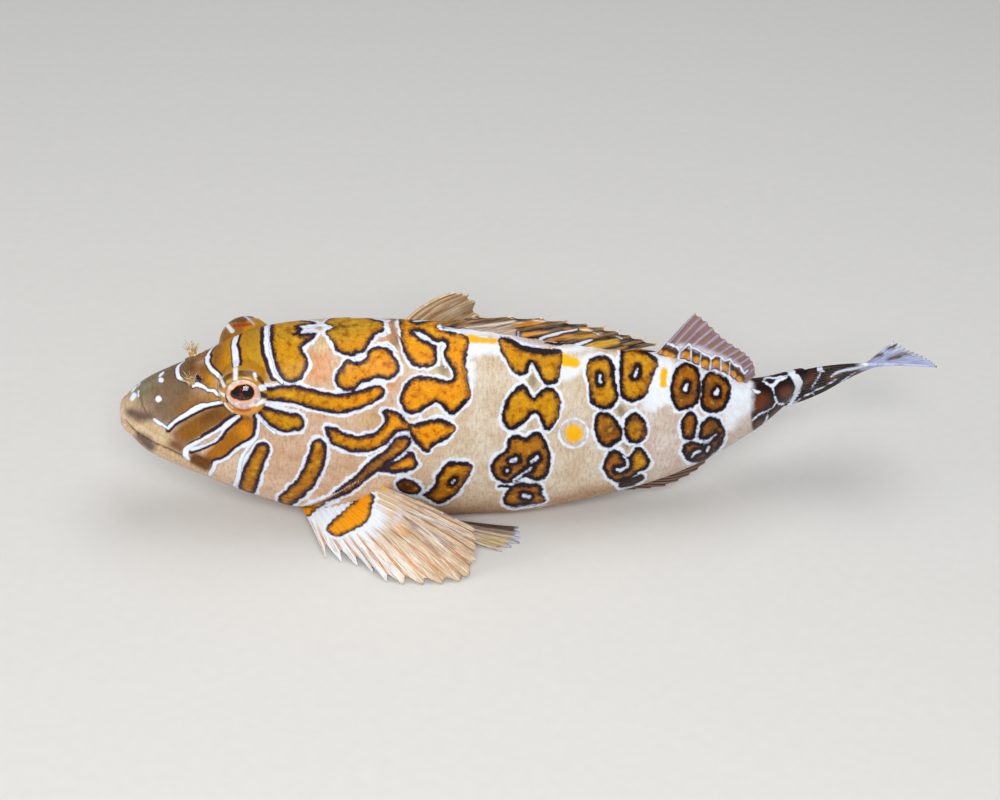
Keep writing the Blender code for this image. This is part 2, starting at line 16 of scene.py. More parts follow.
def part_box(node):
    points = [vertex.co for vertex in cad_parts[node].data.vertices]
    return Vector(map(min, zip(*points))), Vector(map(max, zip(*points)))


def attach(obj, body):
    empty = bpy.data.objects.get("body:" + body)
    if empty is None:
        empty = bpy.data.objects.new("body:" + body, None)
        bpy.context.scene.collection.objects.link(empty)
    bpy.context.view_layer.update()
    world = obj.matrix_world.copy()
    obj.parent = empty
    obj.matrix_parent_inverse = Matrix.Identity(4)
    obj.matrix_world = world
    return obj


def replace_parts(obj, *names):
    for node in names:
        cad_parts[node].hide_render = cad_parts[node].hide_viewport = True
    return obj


MM = 0.001
FLOOR = -52.4
STANDARD_LENGTH = 330.0

# Outlines of the straightened body, as in the solids: (station from the snout, value)
BACK = [(0, 4), (2, 9.5), (6, 14), (13, 19.5), (25, 25.5), (37, 31), (49, 38), (60, 44),
        (84, 49.6), (106, 51.4), (130, 52), (156, 50.8), (183, 46.8), (209, 42.3), (228, 39.5),
        (247, 37), (257, 35), (267, 32.3), (276, 28.8), (289, 23.5), (301, 20.6), (314, 19.4),
        (330, 19.2)]
BELLY = [(0, 4), (2, -3), (6, -9.5), (13, -17), (25, -23.5), (37, -29), (49, -34.5), (60, -39.5),
         (84, -47.5), (106, -51.2), (135, -52.9), (183, -52.9), (209, -49.5), (238, -43),
         (257, -37), (276, -29.5), (289, -24.5), (301, -21), (314, -19.4), (330, -19)]
HALF_WIDTH = [(0, 0), (2, 7), (6, 11.5), (13, 15.5), (25, 19.5), (37, 22), (49, 24.3), (60, 26),
              (84, 29), (106, 30.5), (156, 30.5), (183, 29), (209, 26), (238, 22), (257, 19),
              (276, 15.5), (301, 10.5), (314, 8.2), (330, 5.5)]
WIDEST_HEIGHT = [(0, 4), (13, 3), (40, 1), (80, -2), (156, -3), (250, -1), (330, 0)]
BACK_SQUARENESS = [(0, 1), (30, 0.85), (60, 0.78), (100, 0.86), (150, 1.08), (250, 1.15), (330, 1)]
BELLY_SQUARENESS = [(0, 1), (40, 0.85), (106, 0.8), (200, 0.85), (276, 1), (330, 1)]
TAIL_SWING_DEGREES = [(0, 0), (262, 0), (285, 10), (305, 27), (322, 36), (420, 34)]
TAIL_LEAN_DEGREES = [(0, 0), (262, 0), (280, 6), (300, 18), (315, 23), (330, 28), (420, 54)]
ORBIT_SWELLING = (60.0, 29.0)
ORBIT_SPREAD = (17.0, 13.0)
ORBIT_SWELL = 5.0

# Edges on the skin: (degrees from the midline of the back, station)
GILL_EDGE = [(0, 104), (30, 108), (46, 116), (62, 128), (77, 134), (93, 123), (110, 106),
             (140, 86), (165, 72), (180, 66)]
MOUTH = [(0, 3.5), (7, 1.2), (15, -2.6), (24, -6.2), (30, -9.6), (35, -13), (41, -15.8)]
MOUTH_CORNER = 40.0

# Eyes
EYE_PLACE = (58.6, 19.0, 29.7)
EYE_TILT_UP = 13.0
EYE_TURN_FORWARD = 8.0


def through(points, at):
    """Value at a station on a smooth curve through (station, value) points, with no overshoot."""
    x, y = np.array(points, float).T
    at = np.clip(np.asarray(at, float), x[0], x[-1])
    step = np.diff(x)
    rise = np.diff(y) / step
    slope = np.empty(len(x))
    slope[0], slope[-1] = rise[0], rise[-1]
    before, after = rise[:-1], rise[1:]
    first, second = 2 * step[1:] + step[:-1], step[1:] + 2 * step[:-1]
    turning = before * after <= 0
    steady = np.where(turning, 1, before), np.where(turning, 1, after)
    slope[1:-1] = np.where(turning, 0, (first + second) / (first / steady[0] + second / steady[1]))
    i = np.clip(np.searchsorted(x, at, side="right") - 1, 0, len(step) - 1)
    t = (at - x[i]) / step[i]
    lift = step[i] * (slope[i] * t * (1 - t) ** 2 - slope[i + 1] * t**2 * (1 - t))
    return y[i] * (1 + 2 * t) * (1 - t) ** 2 + y[i + 1] * t**2 * (3 - 2 * t) + lift


def axis_tables():
    """Stations along the body's axis, and the place of the axis at each."""
    stations = np.arange(0, 421.0)
    swing = np.radians(through(TAIL_SWING_DEGREES, stations[:-1] + 0.5))
    x = np.concatenate([[0], np.cumsum(np.cos(swing))])
    y = np.concatenate([[0], np.cumsum(np.sin(swing))])
    return stations, x, y


AXIS = axis_tables()


def in_body(station, left, up):
    """Place of a point beside the axis at a station, towards the fish's left and its back."""
    stations, axis_x, axis_y = AXIS
    swing = np.radians(through(TAIL_SWING_DEGREES, station))
    lean = np.radians(through(TAIL_LEAN_DEGREES, station))
    side = left * np.cos(lean) + up * np.sin(lean)
    x = np.interp(station, stations, axis_x) + side * np.sin(swing)
    y = np.interp(station, stations, axis_y) - side * np.cos(swing)
    z = up * np.cos(lean) - left * np.sin(lean)
    return np.stack(np.broadcast_arrays(x, y, z), axis=-1)


def section(station, angle):
    """Distance out and height of the skin at a station and an angle from the back."""
    crest = through(WIDEST_HEIGHT, station)
    rising = np.cos(angle) > 0
    reach = np.where(rising, through(BACK, station) - crest, crest - through(BELLY, station))
    squareness = np.where(
        rising, through(BACK_SQUARENESS, station), through(BELLY_SQUARENESS, station)
    )
    side = np.sin(angle)
    up = crest + reach * np.cos(angle)
    along = (station - ORBIT_SWELLING[0]) / ORBIT_SPREAD[0]
    across = (up - ORBIT_SWELLING[1]) / ORBIT_SPREAD[1]
    width = through(HALF_WIDTH, station) + ORBIT_SWELL * np.exp(-(along**2) - across**2)
    return width * np.sign(side) * np.abs(side) ** squareness, up


def unit(vectors):
    """The vectors at length 1."""
    return vectors / np.maximum(np.linalg.norm(vectors, axis=-1, keepdims=True), 1e-9)


def smoothstep(low, high, value):
    """0 at low, 1 at high, and a smooth change between; low may be the greater."""
    t = np.clip((value - low) / (high - low), 0, 1)
    return t * t * (3 - 2 * t)


def bell(value, width):
    """1 at nothing, falling to a third at a width to either side."""
    return np.exp(-((value / width) ** 2))


# The photo's camera, turned round the body's middle
CAMERA_TURN = 8.0
CAMERA_HEIGHT = 36.0
CAMERA_ROLL = 4.6
MM_PER_PIXEL = 0.48
LENS = 70.0
SENSOR = 36.0
PHOTO_WIDTH = 1000
PHOTO_HEIGHT = 800
CAMERA_DISTANCE = LENS / SENSOR * PHOTO_WIDTH * MM_PER_PIXEL
TARGET = np.array([174.5, 0.0, 0.0])
TARGET_PIXEL = (490.0, 416.0)


def camera_axes():
    """The camera's right, up and backward directions."""
    turn, height, roll = np.radians([CAMERA_TURN, CAMERA_HEIGHT, CAMERA_ROLL])
    right = np.array([np.cos(turn), -np.sin(turn), 0])
    level = np.cos(height)
    back = np.array([-np.sin(turn) * level, -np.cos(turn) * level, np.sin(height)])
    up = np.cross(back, right)
    rolled = right * np.cos(roll) + up * np.sin(roll)
    return rolled, np.cross(back, rolled), back


def to_pixels(points):
    """Pixels of the photo at which points of the body are seen."""
    right, up, back = camera_axes()
    away = np.asarray(points) - TARGET
    scale = CAMERA_DISTANCE / (CAMERA_DISTANCE - away @ back) / MM_PER_PIXEL
    return np.stack(
        [TARGET_PIXEL[0] + (away @ right) * scale, TARGET_PIXEL[1] - (away @ up) * scale], axis=-1
    )


# Folds and edges of the skin, in millimetres or in degrees from the midline of the back
CHEEK_EDGE = [(40, 88), (56, 92), (66, 94), (78, 96), (87, 96.5), (96, 95.5), (106, 92), (117, 86),
              (140, 74), (180, 60)]
GILL_LIFT = 1.3
GILL_FADE = 7.0
GILL_DIP = 0.5
GILL_DIP_FADE = 2.0
CHEEK_LIFT = 0.55
CHEEK_FADE = 5.0
CHEEK_DROP = 0.9
CHEEK_STARTS = (35, 55)
CHEEK_ENDS = (125, 150)
LIP_RISE = 1.3
LIP_OFFSET = 2.6
LIP_SPREAD = 1.8
LIP_ENDS = (-5, 2)
# Folds outside the lips: (height over the mouth, depth)
LIP_FOLDS = ((5.8, 0.5), (-5.6, 0.4))
LIP_FOLD_SPREAD = 0.9
MOUTH_DEPTH = 1.9
MOUTH_SPREAD = 0.6
# Nostrils: (station, degrees from the back, height of the rim, depth)
NOSTRILS = ((32.0, 22.0, 0.8, 1.8), (38.5, 25.0, 0.3, 1.3))
NOSTRIL_SPREAD = 0.9
NOSTRIL_RIM_RADIUS = 1.7
NOSTRIL_RIM_SPREAD = 0.7
SCALE_LENGTH = 5.2
SCALE_HEIGHT = 4.8
SCALE_RELIEF = 0.07
# One scale, as shares of its length and height: half sizes, overlap, and its rise to the rear
SCALE_REACH = (1.2, 0.66)
SCALE_OVERLAP = 0.2
SCALE_FOOT = 0.3
SCALE_RISE = (0.4, 0.5)
# Stations over which the scales' relief and their look begin, and where both begin to end
RELIEF_STARTS = (48, 80)
RELIEF_ENDS = 325
LOOK_STARTS = (50, 90)
LOOK_ENDS = 320

# Skin grid: rows along the body and columns from the back to the belly on one side
SNOUT_ROWS = 30
SNOUT_START = 0.1
SNOUT_END = 9.0
SNOUT_CROWDING = 1.8
HEAD_STEP = 0.5
HEAD_ROWS_END = 130.0
ROW_STEP = 0.8
SKIN_END = 336.0
STALK_TAPER = 0.25
STALK_CLOSING = 0.97
TAIL_POINT = 0.3
HALF_COLUMNS = 176
MIDLINE_CROWDING = 0.17

# Dome of skin round the eye, and the opening that the eye looks through
ORBIT_RADIUS = 12.2
ORBIT_BLEND = 2.2
OPENING_DEGREES = 56.0
OPENING_EDGE = (-2, 4)
SOCKET_RADIUS = 5.5
NO_REACH = -9.0
LEAST_REACH = -8.9
# How far round the eye, in radii of the dome, the skin is swollen and sunk
SWOLLEN_RADII = 2.2
SUNK_RADII = 1.6


def eye_axis():
    """The way the left eye looks, in the straightened body's station, left and up."""
    up, forward = math.radians(EYE_TILT_UP), math.radians(EYE_TURN_FORWARD)
    level = math.cos(up)
    return np.array([-level * math.sin(forward), level * math.cos(forward), math.sin(up)])


def grid_normals(points):
    """Outward directions of a half skin held as rows by columns of (station, left, up)."""
    along = np.gradient(points, axis=0)
    around = np.gradient(points, axis=1)
    return unit(np.cross(along, around))


def skin_grid():
    """Stations and angles of the left half of the skin."""
    share = np.linspace(0, 1, SNOUT_ROWS) ** SNOUT_CROWDING
    snout = SNOUT_START + (SNOUT_END - SNOUT_START) * share
    head = np.arange(SNOUT_END + HEAD_STEP, HEAD_ROWS_END, HEAD_STEP)
    body = np.arange(HEAD_ROWS_END, SKIN_END, ROW_STEP)
    turn = np.linspace(0, math.pi, HALF_COLUMNS + 1)
    angle = turn - MIDLINE_CROWDING * np.sin(2 * turn)
    return np.meshgrid(np.concatenate([snout, head, body]), angle, indexing="ij")


def scale_relief(station, arc):
    """Height, 0 to 1, of overlapping scales: each rises to its rear edge and steps down."""
    u, v = station / SCALE_LENGTH, arc / SCALE_HEIGHT
    reach_along, reach_across = SCALE_REACH
    start, rise = SCALE_RISE
    height = np.full(u.shape, SCALE_FOOT)
    for back in (1, 0, -1):
        column = np.floor(u) + back
        across = v - 0.5 * (column % 2)
        across = across - np.round(across)
        ahead = u - column
        inside = (ahead / reach_along) ** 2 + (across / reach_across) ** 2 < 1
        height = np.where(inside & (ahead > -SCALE_OVERLAP), start + rise * ahead, height)
    return height


def head_relief(station, angle, points):
    """Height of the gill cover, cheek edge, lips and nostrils over the plain body."""
    degrees = np.degrees(angle)
    sides = np.clip(2 * np.sin(angle) ** 2, 0, 1)
    gill = station - through(GILL_EDGE, degrees)
    cover = GILL_LIFT * np.exp(gill / GILL_FADE)
    behind = -GILL_DIP * np.exp(-gill / GILL_DIP_FADE)
    relief = np.where(gill <= 0, cover, behind) * sides
    cheek = station - through(CHEEK_EDGE, degrees)
    fade = smoothstep(*CHEEK_STARTS, degrees) * smoothstep(*reversed(CHEEK_ENDS), degrees)
    rise = CHEEK_LIFT * np.exp(np.minimum(cheek, 0) / CHEEK_FADE)
    relief += rise * smoothstep(CHEEK_DROP, 0, cheek) * fade

    from_mouth = points[..., 2] - through(MOUTH, station)
    fade = smoothstep(MOUTH_CORNER + LIP_ENDS[1], MOUTH_CORNER + LIP_ENDS[0], station)
    for offset in (LIP_OFFSET, -LIP_OFFSET):
        relief += LIP_RISE * bell(from_mouth - offset, LIP_SPREAD) * fade
    for offset, depth in LIP_FOLDS:
        relief -= depth * bell(from_mouth - offset, LIP_FOLD_SPREAD) * fade
    relief -= MOUTH_DEPTH * bell(from_mouth, MOUTH_SPREAD) * fade

    for place, turn, rim, depth in NOSTRILS:
        turn = math.radians(turn)
        centre = np.array([place, *section(np.array(place), np.array(turn))])
        away = np.linalg.norm(points - centre, axis=-1)
        relief += rim * bell(away - NOSTRIL_RIM_RADIUS, NOSTRIL_RIM_SPREAD)
        relief -= depth * bell(away, NOSTRIL_SPREAD)
    return relief


def round_the_eye(points, normals):
    """The skin swollen into a dome round the eye, and sunk under the eye inside its opening."""
    centre, axis = np.array(EYE_PLACE), eye_axis()
    away = points - centre
    along = (away * normals).sum(axis=-1)
    inside = along**2 - (away**2).sum(axis=-1) + ORBIT_RADIUS**2
    reach = np.where(inside > 0, np.sqrt(np.maximum(inside, 0)) - along, NO_REACH)
    near = np.linalg.norm(away, axis=-1) < SWOLLEN_RADII * ORBIT_RADIUS
    rise = ORBIT_BLEND * np.logaddexp(0, reach / ORBIT_BLEND)
    least = ORBIT_BLEND * np.log1p(math.exp(NO_REACH / ORBIT_BLEND))
    rise = np.where(near & (reach > LEAST_REACH), rise - least, 0)
    points = points + normals * rise[..., None]
    away = points - centre
    distance = np.linalg.norm(away, axis=-1)
    turned = np.degrees(np.arccos(np.clip(away @ axis / np.maximum(distance, 1e-6), -1, 1)))
    inner, outer = OPENING_DEGREES + OPENING_EDGE[0], OPENING_DEGREES + OPENING_EDGE[1]
    sink = smoothstep(outer, inner, turned) * (distance < SUNK_RADII * ORBIT_RADIUS)
    kept = distance + (SOCKET_RADIUS - distance) * sink
    return centre + away * (kept / np.maximum(distance, 1e-6))[..., None]


def half_skin():
    """The left half of the finished skin, and its plain stations, angles and arc lengths."""
    station, angle = skin_grid()
    left, up = section(station, angle)
    end = np.clip((station - STANDARD_LENGTH) / (SKIN_END - STANDARD_LENGTH), 0, 1)
    left = left * np.sqrt(1 - STALK_CLOSING * end**2)
    up = up * (1 - STALK_TAPER * end)
    points = np.stack([station, left, up], axis=-1)
    normals = grid_normals(points)
    step = np.linalg.norm(np.diff(points, axis=1), axis=-1)
    arc = np.concatenate([np.zeros((len(step), 1)), np.cumsum(step, axis=1)], axis=1)
    relief = head_relief(station, angle, points)
    scaled = smoothstep(*RELIEF_STARTS, station) * smoothstep(SKIN_END, RELIEF_ENDS, station)
    relief += SCALE_RELIEF * scale_relief(station, arc) * scaled
    points = points + normals * relief[..., None]
    points = round_the_eye(points, normals)
    return points, station, angle, arc


def place_side(points, side):
    """Points of (station, left, up) put in the posed body: side 1 is the left, -1 the right."""
    placed = in_body(points[..., 0], side * points[..., 1], points[..., 2])
    placed[..., 2] = np.maximum(placed[..., 2], FLOOR)
    return placed


# Marks in photo pixels: strokes of (x, y, radius). Blotches are gold inside a dark border, with a
# white line round them; the radius takes in the dark border.
BLOTCHES = [
    # behind the eye
    [(262, 394, 6.5), (278, 393.5, 8), (292, 394, 9), (304, 396.5, 9.5), (316, 400, 10),
     (328, 403, 10), (340, 404, 10), (355, 401.5, 9.5), (368, 396.5, 9), (377, 392, 8)],
    [(263, 411, 5.5), (275, 418.5, 9.5), (287, 422.5, 10.5), (296, 422, 9)],
    # cheek
    [(262, 450, 8), (257, 460, 8.5), (252, 471, 9.3), (248, 486, 9.5)],
    [(318, 447, 8.6), (317.5, 457, 9), (314, 467, 9.2), (307, 481, 9), (296, 492, 8.6),
     (286, 500, 8.4)],
    # small marks under the belly
    [(499, 486, 1.6), (509, 486, 1.6)],
    [(622, 485, 3.5), (632, 482, 4), (641, 477, 3)],
]

# The larger blotches by the corners of their outlines, which are rounded off
OUTLINES = [
    # behind the head, along the back
    [(269.5, 316), (300, 316), (304.5, 323), (303.5, 329), (298, 333.5), (309, 332), (319, 332.5),
     (315, 337.5), (308, 342.5), (303, 347), (303.5, 351), (308.5, 357.5), (308.5, 366), (305, 375),
     (299, 381.5), (290.5, 383.5), (283, 380.5), (277.5, 373), (273.5, 362), (270.5, 350),
     (269.5, 335)],
    [(324, 332), (327, 328.5), (331, 326), (336, 323), (344, 321.5), (352, 320.5), (370, 319),
     (379, 319), (384, 322), (386, 327), (383, 332), (378, 334), (375, 336), (372, 341), (368, 346),
     (366, 350), (362, 353.5), (356, 354), (354, 356.5), (350, 357), (344, 355), (338, 352.5),
     (335, 350.5), (333.5, 345), (329, 339), (326, 335)],
    [(348, 358), (353, 361), (360, 361), (366, 358), (367, 352), (371, 348), (376, 346),
     (384, 346.5), (390, 348.5), (394, 354), (398, 360), (400, 367), (399, 374), (394, 378.5),
     (386, 380), (378, 378.5), (372, 380), (366, 382), (361, 385), (356, 389), (350, 391),
     (343, 390.5), (337, 387), (334.5, 381), (334.5, 375), (337, 370), (342, 366), (344, 361)],
    # gill cover
    [(324.2, 426.7), (329, 426.3), (338.3, 428.3), (345, 432.5), (352.5, 435), (359, 437.5),
     (365, 434.2), (373.3, 433), (380, 429), (384, 422.5), (385.5, 418.3), (383.3, 413.7),
     (380.3, 409.7), (385.8, 408.7), (395, 410.3), (401.7, 415.3), (409.5, 423), (410, 430),
     (403, 431.5), (398, 432.5), (393.3, 436.5), (390, 441.5), (383.3, 446), (376.7, 449.7),
     (368.3, 452.5), (360, 452.8), (352.5, 453.3), (345, 450.8), (336.7, 446.7), (330, 444),
     (328.3, 440), (326.7, 435), (325, 430)],
    [(410, 423.3), (415, 424.2), (423.3, 421.7), (430, 420), (436.7, 418.3), (443.3, 419.2),
     (450, 422.5), (455, 425.8), (456, 430), (451.7, 435), (445, 440.8), (440, 442.5),
     (433.3, 446.7), (430, 451.7), (425, 452.5), (420, 449.2), (415, 443.3), (412, 437),
     (409, 430.5)],
    [(401.7, 434.5), (408, 434.5), (411, 438), (411.5, 444), (409, 449.5), (402.5, 454),
     (393.3, 460), (385, 465.8), (378.3, 470.8), (368.3, 478.3), (360, 485.8), (350, 493),
     (338, 498.5), (330, 501), (322, 506), (316, 511), (311, 517), (305, 518), (301, 511),
     (302, 506.5), (310, 504.5), (322, 500), (330, 496.5), (337, 490), (346.7, 482), (356.7, 473.5),
     (366.7, 463.7), (375, 456.5), (383.3, 450.5), (390.8, 444.7), (395, 438)],
    [(410, 450), (415, 452), (415, 458), (419, 463.5), (416, 468.5), (408.5, 472), (400, 473.5),
     (390, 473), (381.5, 472), (376, 470.5), (384, 466.5), (393, 462), (402, 457.5)],
    [(395, 483), (401.7, 478.3), (411.7, 479.2), (418.3, 483.3), (422.5, 488.3), (420, 492.5),
     (415, 495), (408, 495), (399, 491)],
    # behind the pectoral fin
    [(445.8, 463.3), (455, 460.8), (466.7, 461.7), (471.7, 465), (472.5, 470), (470, 475),
     (466.7, 480), (463.3, 485), (460, 490), (454.2, 496.7), (448.3, 501.7), (441.7, 504.2),
     (435, 503.3), (430, 500), (425.8, 496.7), (421.7, 495), (428.3, 491.7), (433.3, 486.7),
     (435.8, 481.7), (434.2, 476.7), (440, 471.7), (443.3, 466.7)],
    # front band
    [(398, 318), (432, 319), (441, 326), (452, 331), (463, 334), (470, 340), (468, 350), (466, 360),
     (467, 372), (469, 384), (471, 398), (465, 405), (459, 411), (453, 416), (448, 414), (444, 408),
     (439, 404), (434, 403), (428, 407), (421, 412), (413, 415), (406, 413), (401, 406), (400, 396),
     (403, 387), (408, 380), (415, 376), (424, 375), (434, 377), (443, 380), (451, 380), (454, 376),
     (452, 370), (447, 363), (443, 357), (443, 351), (447, 345), (442, 341), (436, 345), (438, 352),
     (438, 360), (434, 366), (426, 369), (418, 368), (411, 364), (406, 357), (403, 349),
     (401, 338)],
    # second band
    [(497, 336), (508, 338), (520, 345), (532, 350), (546, 352), (562, 349), (563, 360), (560, 368),
     (560, 376), (556, 384), (550, 386), (544, 384), (540, 378), (536, 370), (532, 362), (529, 368),
     (527, 374), (521, 376), (515, 375), (510, 367), (505, 359), (500, 350)],
    [(505, 402), (508, 395), (513, 390), (519, 386), (525, 384), (529, 390), (533, 398), (538, 394),
     (542, 388), (549, 386), (555, 388), (560, 396), (561, 406), (558, 417), (554, 427), (549, 432),
     (543, 430), (541, 421), (539, 416), (533, 413), (528, 420), (522, 426), (514, 430), (507, 430),
     (502, 424), (502, 414)],
    [(506, 449), (507, 441), (511, 436), (518, 435), (525, 438), (531, 434), (537, 431), (543, 435),
     (548, 444), (551, 455), (550, 467), (547, 477), (540, 481), (532, 481), (528, 476), (522, 478),
     (516, 482), (510, 484), (502, 483), (495, 479), (491, 472), (491, 463), (496, 456)],
    [(508, 490), (512, 485), (520, 482), (530, 483), (541, 484), (544, 489), (541, 494), (547, 499),
     (541, 504), (530, 505), (524, 505), (516, 507), (508, 507), (502, 501), (504, 495)],
    # third band
    [(586, 366), (590, 358), (600, 355), (611, 357), (615, 366), (615, 380), (617, 390), (619, 397),
     (617, 404), (610, 409), (600, 410), (593, 406), (589, 398), (589, 388), (587, 376)],
    [(620, 348), (632, 345), (645, 350), (655, 355), (660, 362), (656, 370), (652, 378), (650, 388),
     (646, 396), (638, 401), (630, 403), (623, 400), (620, 393), (619, 380), (619, 366)],
    [(596, 414), (602, 411), (610, 414), (617, 420), (622, 427), (623, 434), (620, 441), (613, 446),
     (604, 448), (598, 443), (595, 434), (593, 424)],
    [(624, 420), (630, 413), (636, 411), (641, 416), (646, 422), (648, 432), (645, 440), (638, 444),
     (630, 443), (625, 438), (624, 430)],
    [(602, 467), (606, 457), (611, 451), (617, 449), (622, 453), (628, 459), (632, 452), (636, 446),
     (642, 447), (647, 454), (651, 461), (648, 468), (641, 472), (634, 476), (628, 480), (620, 483),
     (612, 482), (606, 477)],
    # rear band
    [(673, 375), (677, 367), (684, 362), (692, 363), (699, 370), (701, 380), (701, 392), (699, 402),
     (693, 408), (684, 411), (677, 410), (672, 403), (670, 392), (671, 382)],
    [(703, 378), (708, 371), (716, 371), (725, 376), (731, 384), (731, 394), (728, 404), (722, 412),
     (714, 413), (706, 413), (701, 406), (700, 396), (701, 386)],
    [(682, 418), (687, 412), (692, 411), (697, 415), (698, 422), (697, 430), (695, 438), (688, 441),
     (682, 438), (680, 428)],
    [(698, 433), (700, 424), (705, 418), (712, 416), (719, 418), (724, 427), (726, 437), (720, 447),
     (712, 456), (703, 462), (692, 463), (684, 458), (682, 450), (683, 443), (690, 441),
     (697, 442)],
]

# Gaps cut into the blotches, which show a white middle inside a dark border
HOLES = [
    [(415, 332, 1.4), (421, 335, 2.6), (428, 339, 2.2), (434, 343, 1.6), (440, 345, 2)],
    [(452, 482.5, 1.6), (455, 480, 1.2)],
    [(532, 365, 1.2), (533, 374, 2.5)],
    [(511, 461, 1.5), (516, 459, 2.2)],
    [(507, 471, 1.7)],
    [(531, 462, 1.3), (537, 457, 1.8)],
    [(531, 468, 1.3), (524, 473, 1.2), (514, 480, 1.4)],
    [(523, 496, 1.6), (529, 497, 1.4)],
    [(600, 376, 1.3), (600, 382, 2)],
    [(637, 369, 1.4), (635, 376, 2)],
    [(623, 455, 1), (628, 461, 1.2), (627, 467, 1.3), (621, 470, 1.5), (617, 470, 1.4)],
    [(687, 384, 1.1), (685.5, 389, 1.9)],
    [(718, 389, 1), (716.5, 393, 2)],
    [(716, 434, 1), (710, 440, 1.1), (704, 443, 1.4), (698, 441, 1.4), (696, 436, 1.2)],
    [(709, 447, 1.2), (707, 452, 1.2)],
    [(700, 451, 1.1), (695, 453, 1.3), (692, 457, 1.3)],
]
# Strokes along which the dark border of a blotch is thin, with how far each reaches
THIN_EDGES = [
    [(325, 331, 3), (332, 342, 2.5)], [(331, 323, 4), (350, 319, 4), (375, 317, 4), (387, 325, 4)],
    [(398, 325, 5), (402, 342, 4)], [(405, 317, 5), (432, 318, 5)],
    [(459, 330, 5), (470, 342, 6), (468, 372, 5), (471, 395, 5)],
    [(408, 424, 3.5), (410, 430, 3.5)], [(456, 426, 5), (452, 436, 3.5)],
    [(303, 507, 5), (316, 506, 5), (328, 500, 3)],
    [(473, 468, 3.5), (466, 482, 3), (458, 494, 3)],
    [(500, 342, 4), (508, 364, 3.5), (514, 375, 3)], [(563, 350, 6), (562, 376, 5)],
    [(561, 394, 4), (562, 408, 4.5), (556, 426, 3.5)], [(547, 499, 5), (536, 505, 3)],
    [(588, 366, 3), (588, 400, 3)],
    [(660, 362, 4), (654, 376, 4), (648, 392, 3.5)], [(648, 426, 3), (646, 440, 3)],
    [(733, 388, 3)], [(727, 434, 3)],
]

# White lines over the head and the tail, each with the breadths of its dark borders in pixels on
# the left and on the right, going along its stroke with the photo upright
TAIL_FOOT_LINE = (0, 0, [(790, 373, 2), (796, 378, 3.6), (799, 382, 3.8), (798, 388, 2.4),
                         (795, 395, 1.8), (790, 402, 1.6), (784, 410, 1.1), (778, 418, 0.9),
                         (771, 426, 0.9)])
LINES = [
    (2.2, 1, [(215, 331, 0.8), (216.5, 337, 1.1), (212, 349, 1.5), (208, 357, 1.9), (207, 362, 2.1),
              (211, 369, 2.1), (217, 374, 2), (221, 379, 1.8), (225, 386, 1.5)]),
    (3.2, 1.2, [(219, 313, 2), (224, 321, 2), (230, 330, 2.2), (232, 340, 2.6), (235, 350, 3.1),
                (236, 361, 3.2), (235.5, 371, 2.4), (235, 380, 2)]),
    (0, 4.2, [(266, 316, 2.2), (266, 326, 2.2), (266.5, 340, 2.3), (267, 352, 2.2),
                (270, 360, 2.1), (272, 368, 1.9), (275, 376, 1.7)]),
    (0, 1, [(275, 376, 1.7), (282, 382, 1.8)]),
    (1, 1, [(193, 386, 1.2), (197, 384, 2.1), (203, 386.5, 1.8), (208, 390, 1.7), (214, 391, 1.5),
            (219, 395, 1.5), (225, 397, 1.1)]),
    (0.6, 0.9, [(187, 361, 0.6), (181, 363.5, 1.1), (178, 368, 1.7), (177, 373, 2), (178.5, 377, 2),
                (184, 381, 1)]),
    (2.7, 1, [(224, 402, 1.2), (212, 404, 1.8), (203, 405.5, 2.3), (196, 408.5, 2.6),
              (190, 412, 2.4), (184, 416, 2.2), (178, 419.5, 2.1), (173, 423, 1.9),
              (168, 428.5, 1.5)]),
    (0, 0.4, [(168, 428.5, 1.2), (162, 424.5, 1.4), (158, 422.5, 1.6), (154.5, 419.5, 1.4)]),
    (0, 3.6, [(239, 416, 1.8), (230, 421.5, 1.9), (222, 428, 1.8), (213, 433.5, 1.6),
              (205, 438, 1.6)]),
    (0, 1.6, [(205, 438, 1.6), (197, 442.5, 1.8), (190, 446, 2.2)]),
    (0, 0.3, [(190, 446, 2.2), (186, 450, 2.8), (185, 455, 2.8), (189, 460, 1.4)]),
    (3.4, 0, [(238, 417, 1.7), (230, 423, 1.6), (224, 429, 1.4), (219.5, 436, 1.3)]),
    (2.4, 0, [(219.5, 436, 1.3), (214.5, 441, 1.3), (207, 444.5, 1.4), (200, 447, 1.6),
              (192, 449.5, 1.8)]),
    (0, 3.6, [(256, 413, 1.2), (259, 419, 1.9), (258.5, 428, 1.7), (257, 436, 1.8)]),
    (0, 2.8, [(257, 436, 1.8), (253, 441, 2.3), (247, 444.5, 2.3), (240, 447.5, 1.9),
              (234, 452, 1.6), (229, 457, 1.7), (222, 461, 1.7), (215, 463, 2)]),
    (0, 0.2, [(215, 463, 2), (214, 468, 2.5), (210, 474, 2.2)]),
    (0, 0, [(253, 441, 2), (248, 448, 1.8), (243, 454.5, 1.9), (240.5, 461, 2), (239, 469, 2.2),
            (238, 478, 2.4), (235, 485, 2.4)]),
    (0, 0, [(259, 416, 1.3), (262, 422, 1.2), (268, 428, 1.4), (275, 433, 1.5)]),
    (0, 0, [(760, 379, 0.8), (766, 383, 0.9), (770, 386, 1.6), (773, 385.5, 2), (777, 381, 1.6),
            (786, 377.5, 1.1)]),
    (0, 0, [(772.5, 387, 1.1), (775, 396, 0.9), (776, 401, 1.2), (779, 404, 1), (784, 404.5, 0.8)]),
    TAIL_FOOT_LINE,
    (0, 0, [(777, 402, 1), (772, 408, 0.8), (765, 412, 0.9), (758, 415, 0.8), (752, 420, 1)]),
    (0, 0, [(768, 411, 0.9), (767, 419, 0.8), (762, 428, 0.8), (758, 433, 0.8)]),
    (0, 0, [(752, 389, 0.9), (757, 392, 1.5), (759, 392, 0.7)]),
]
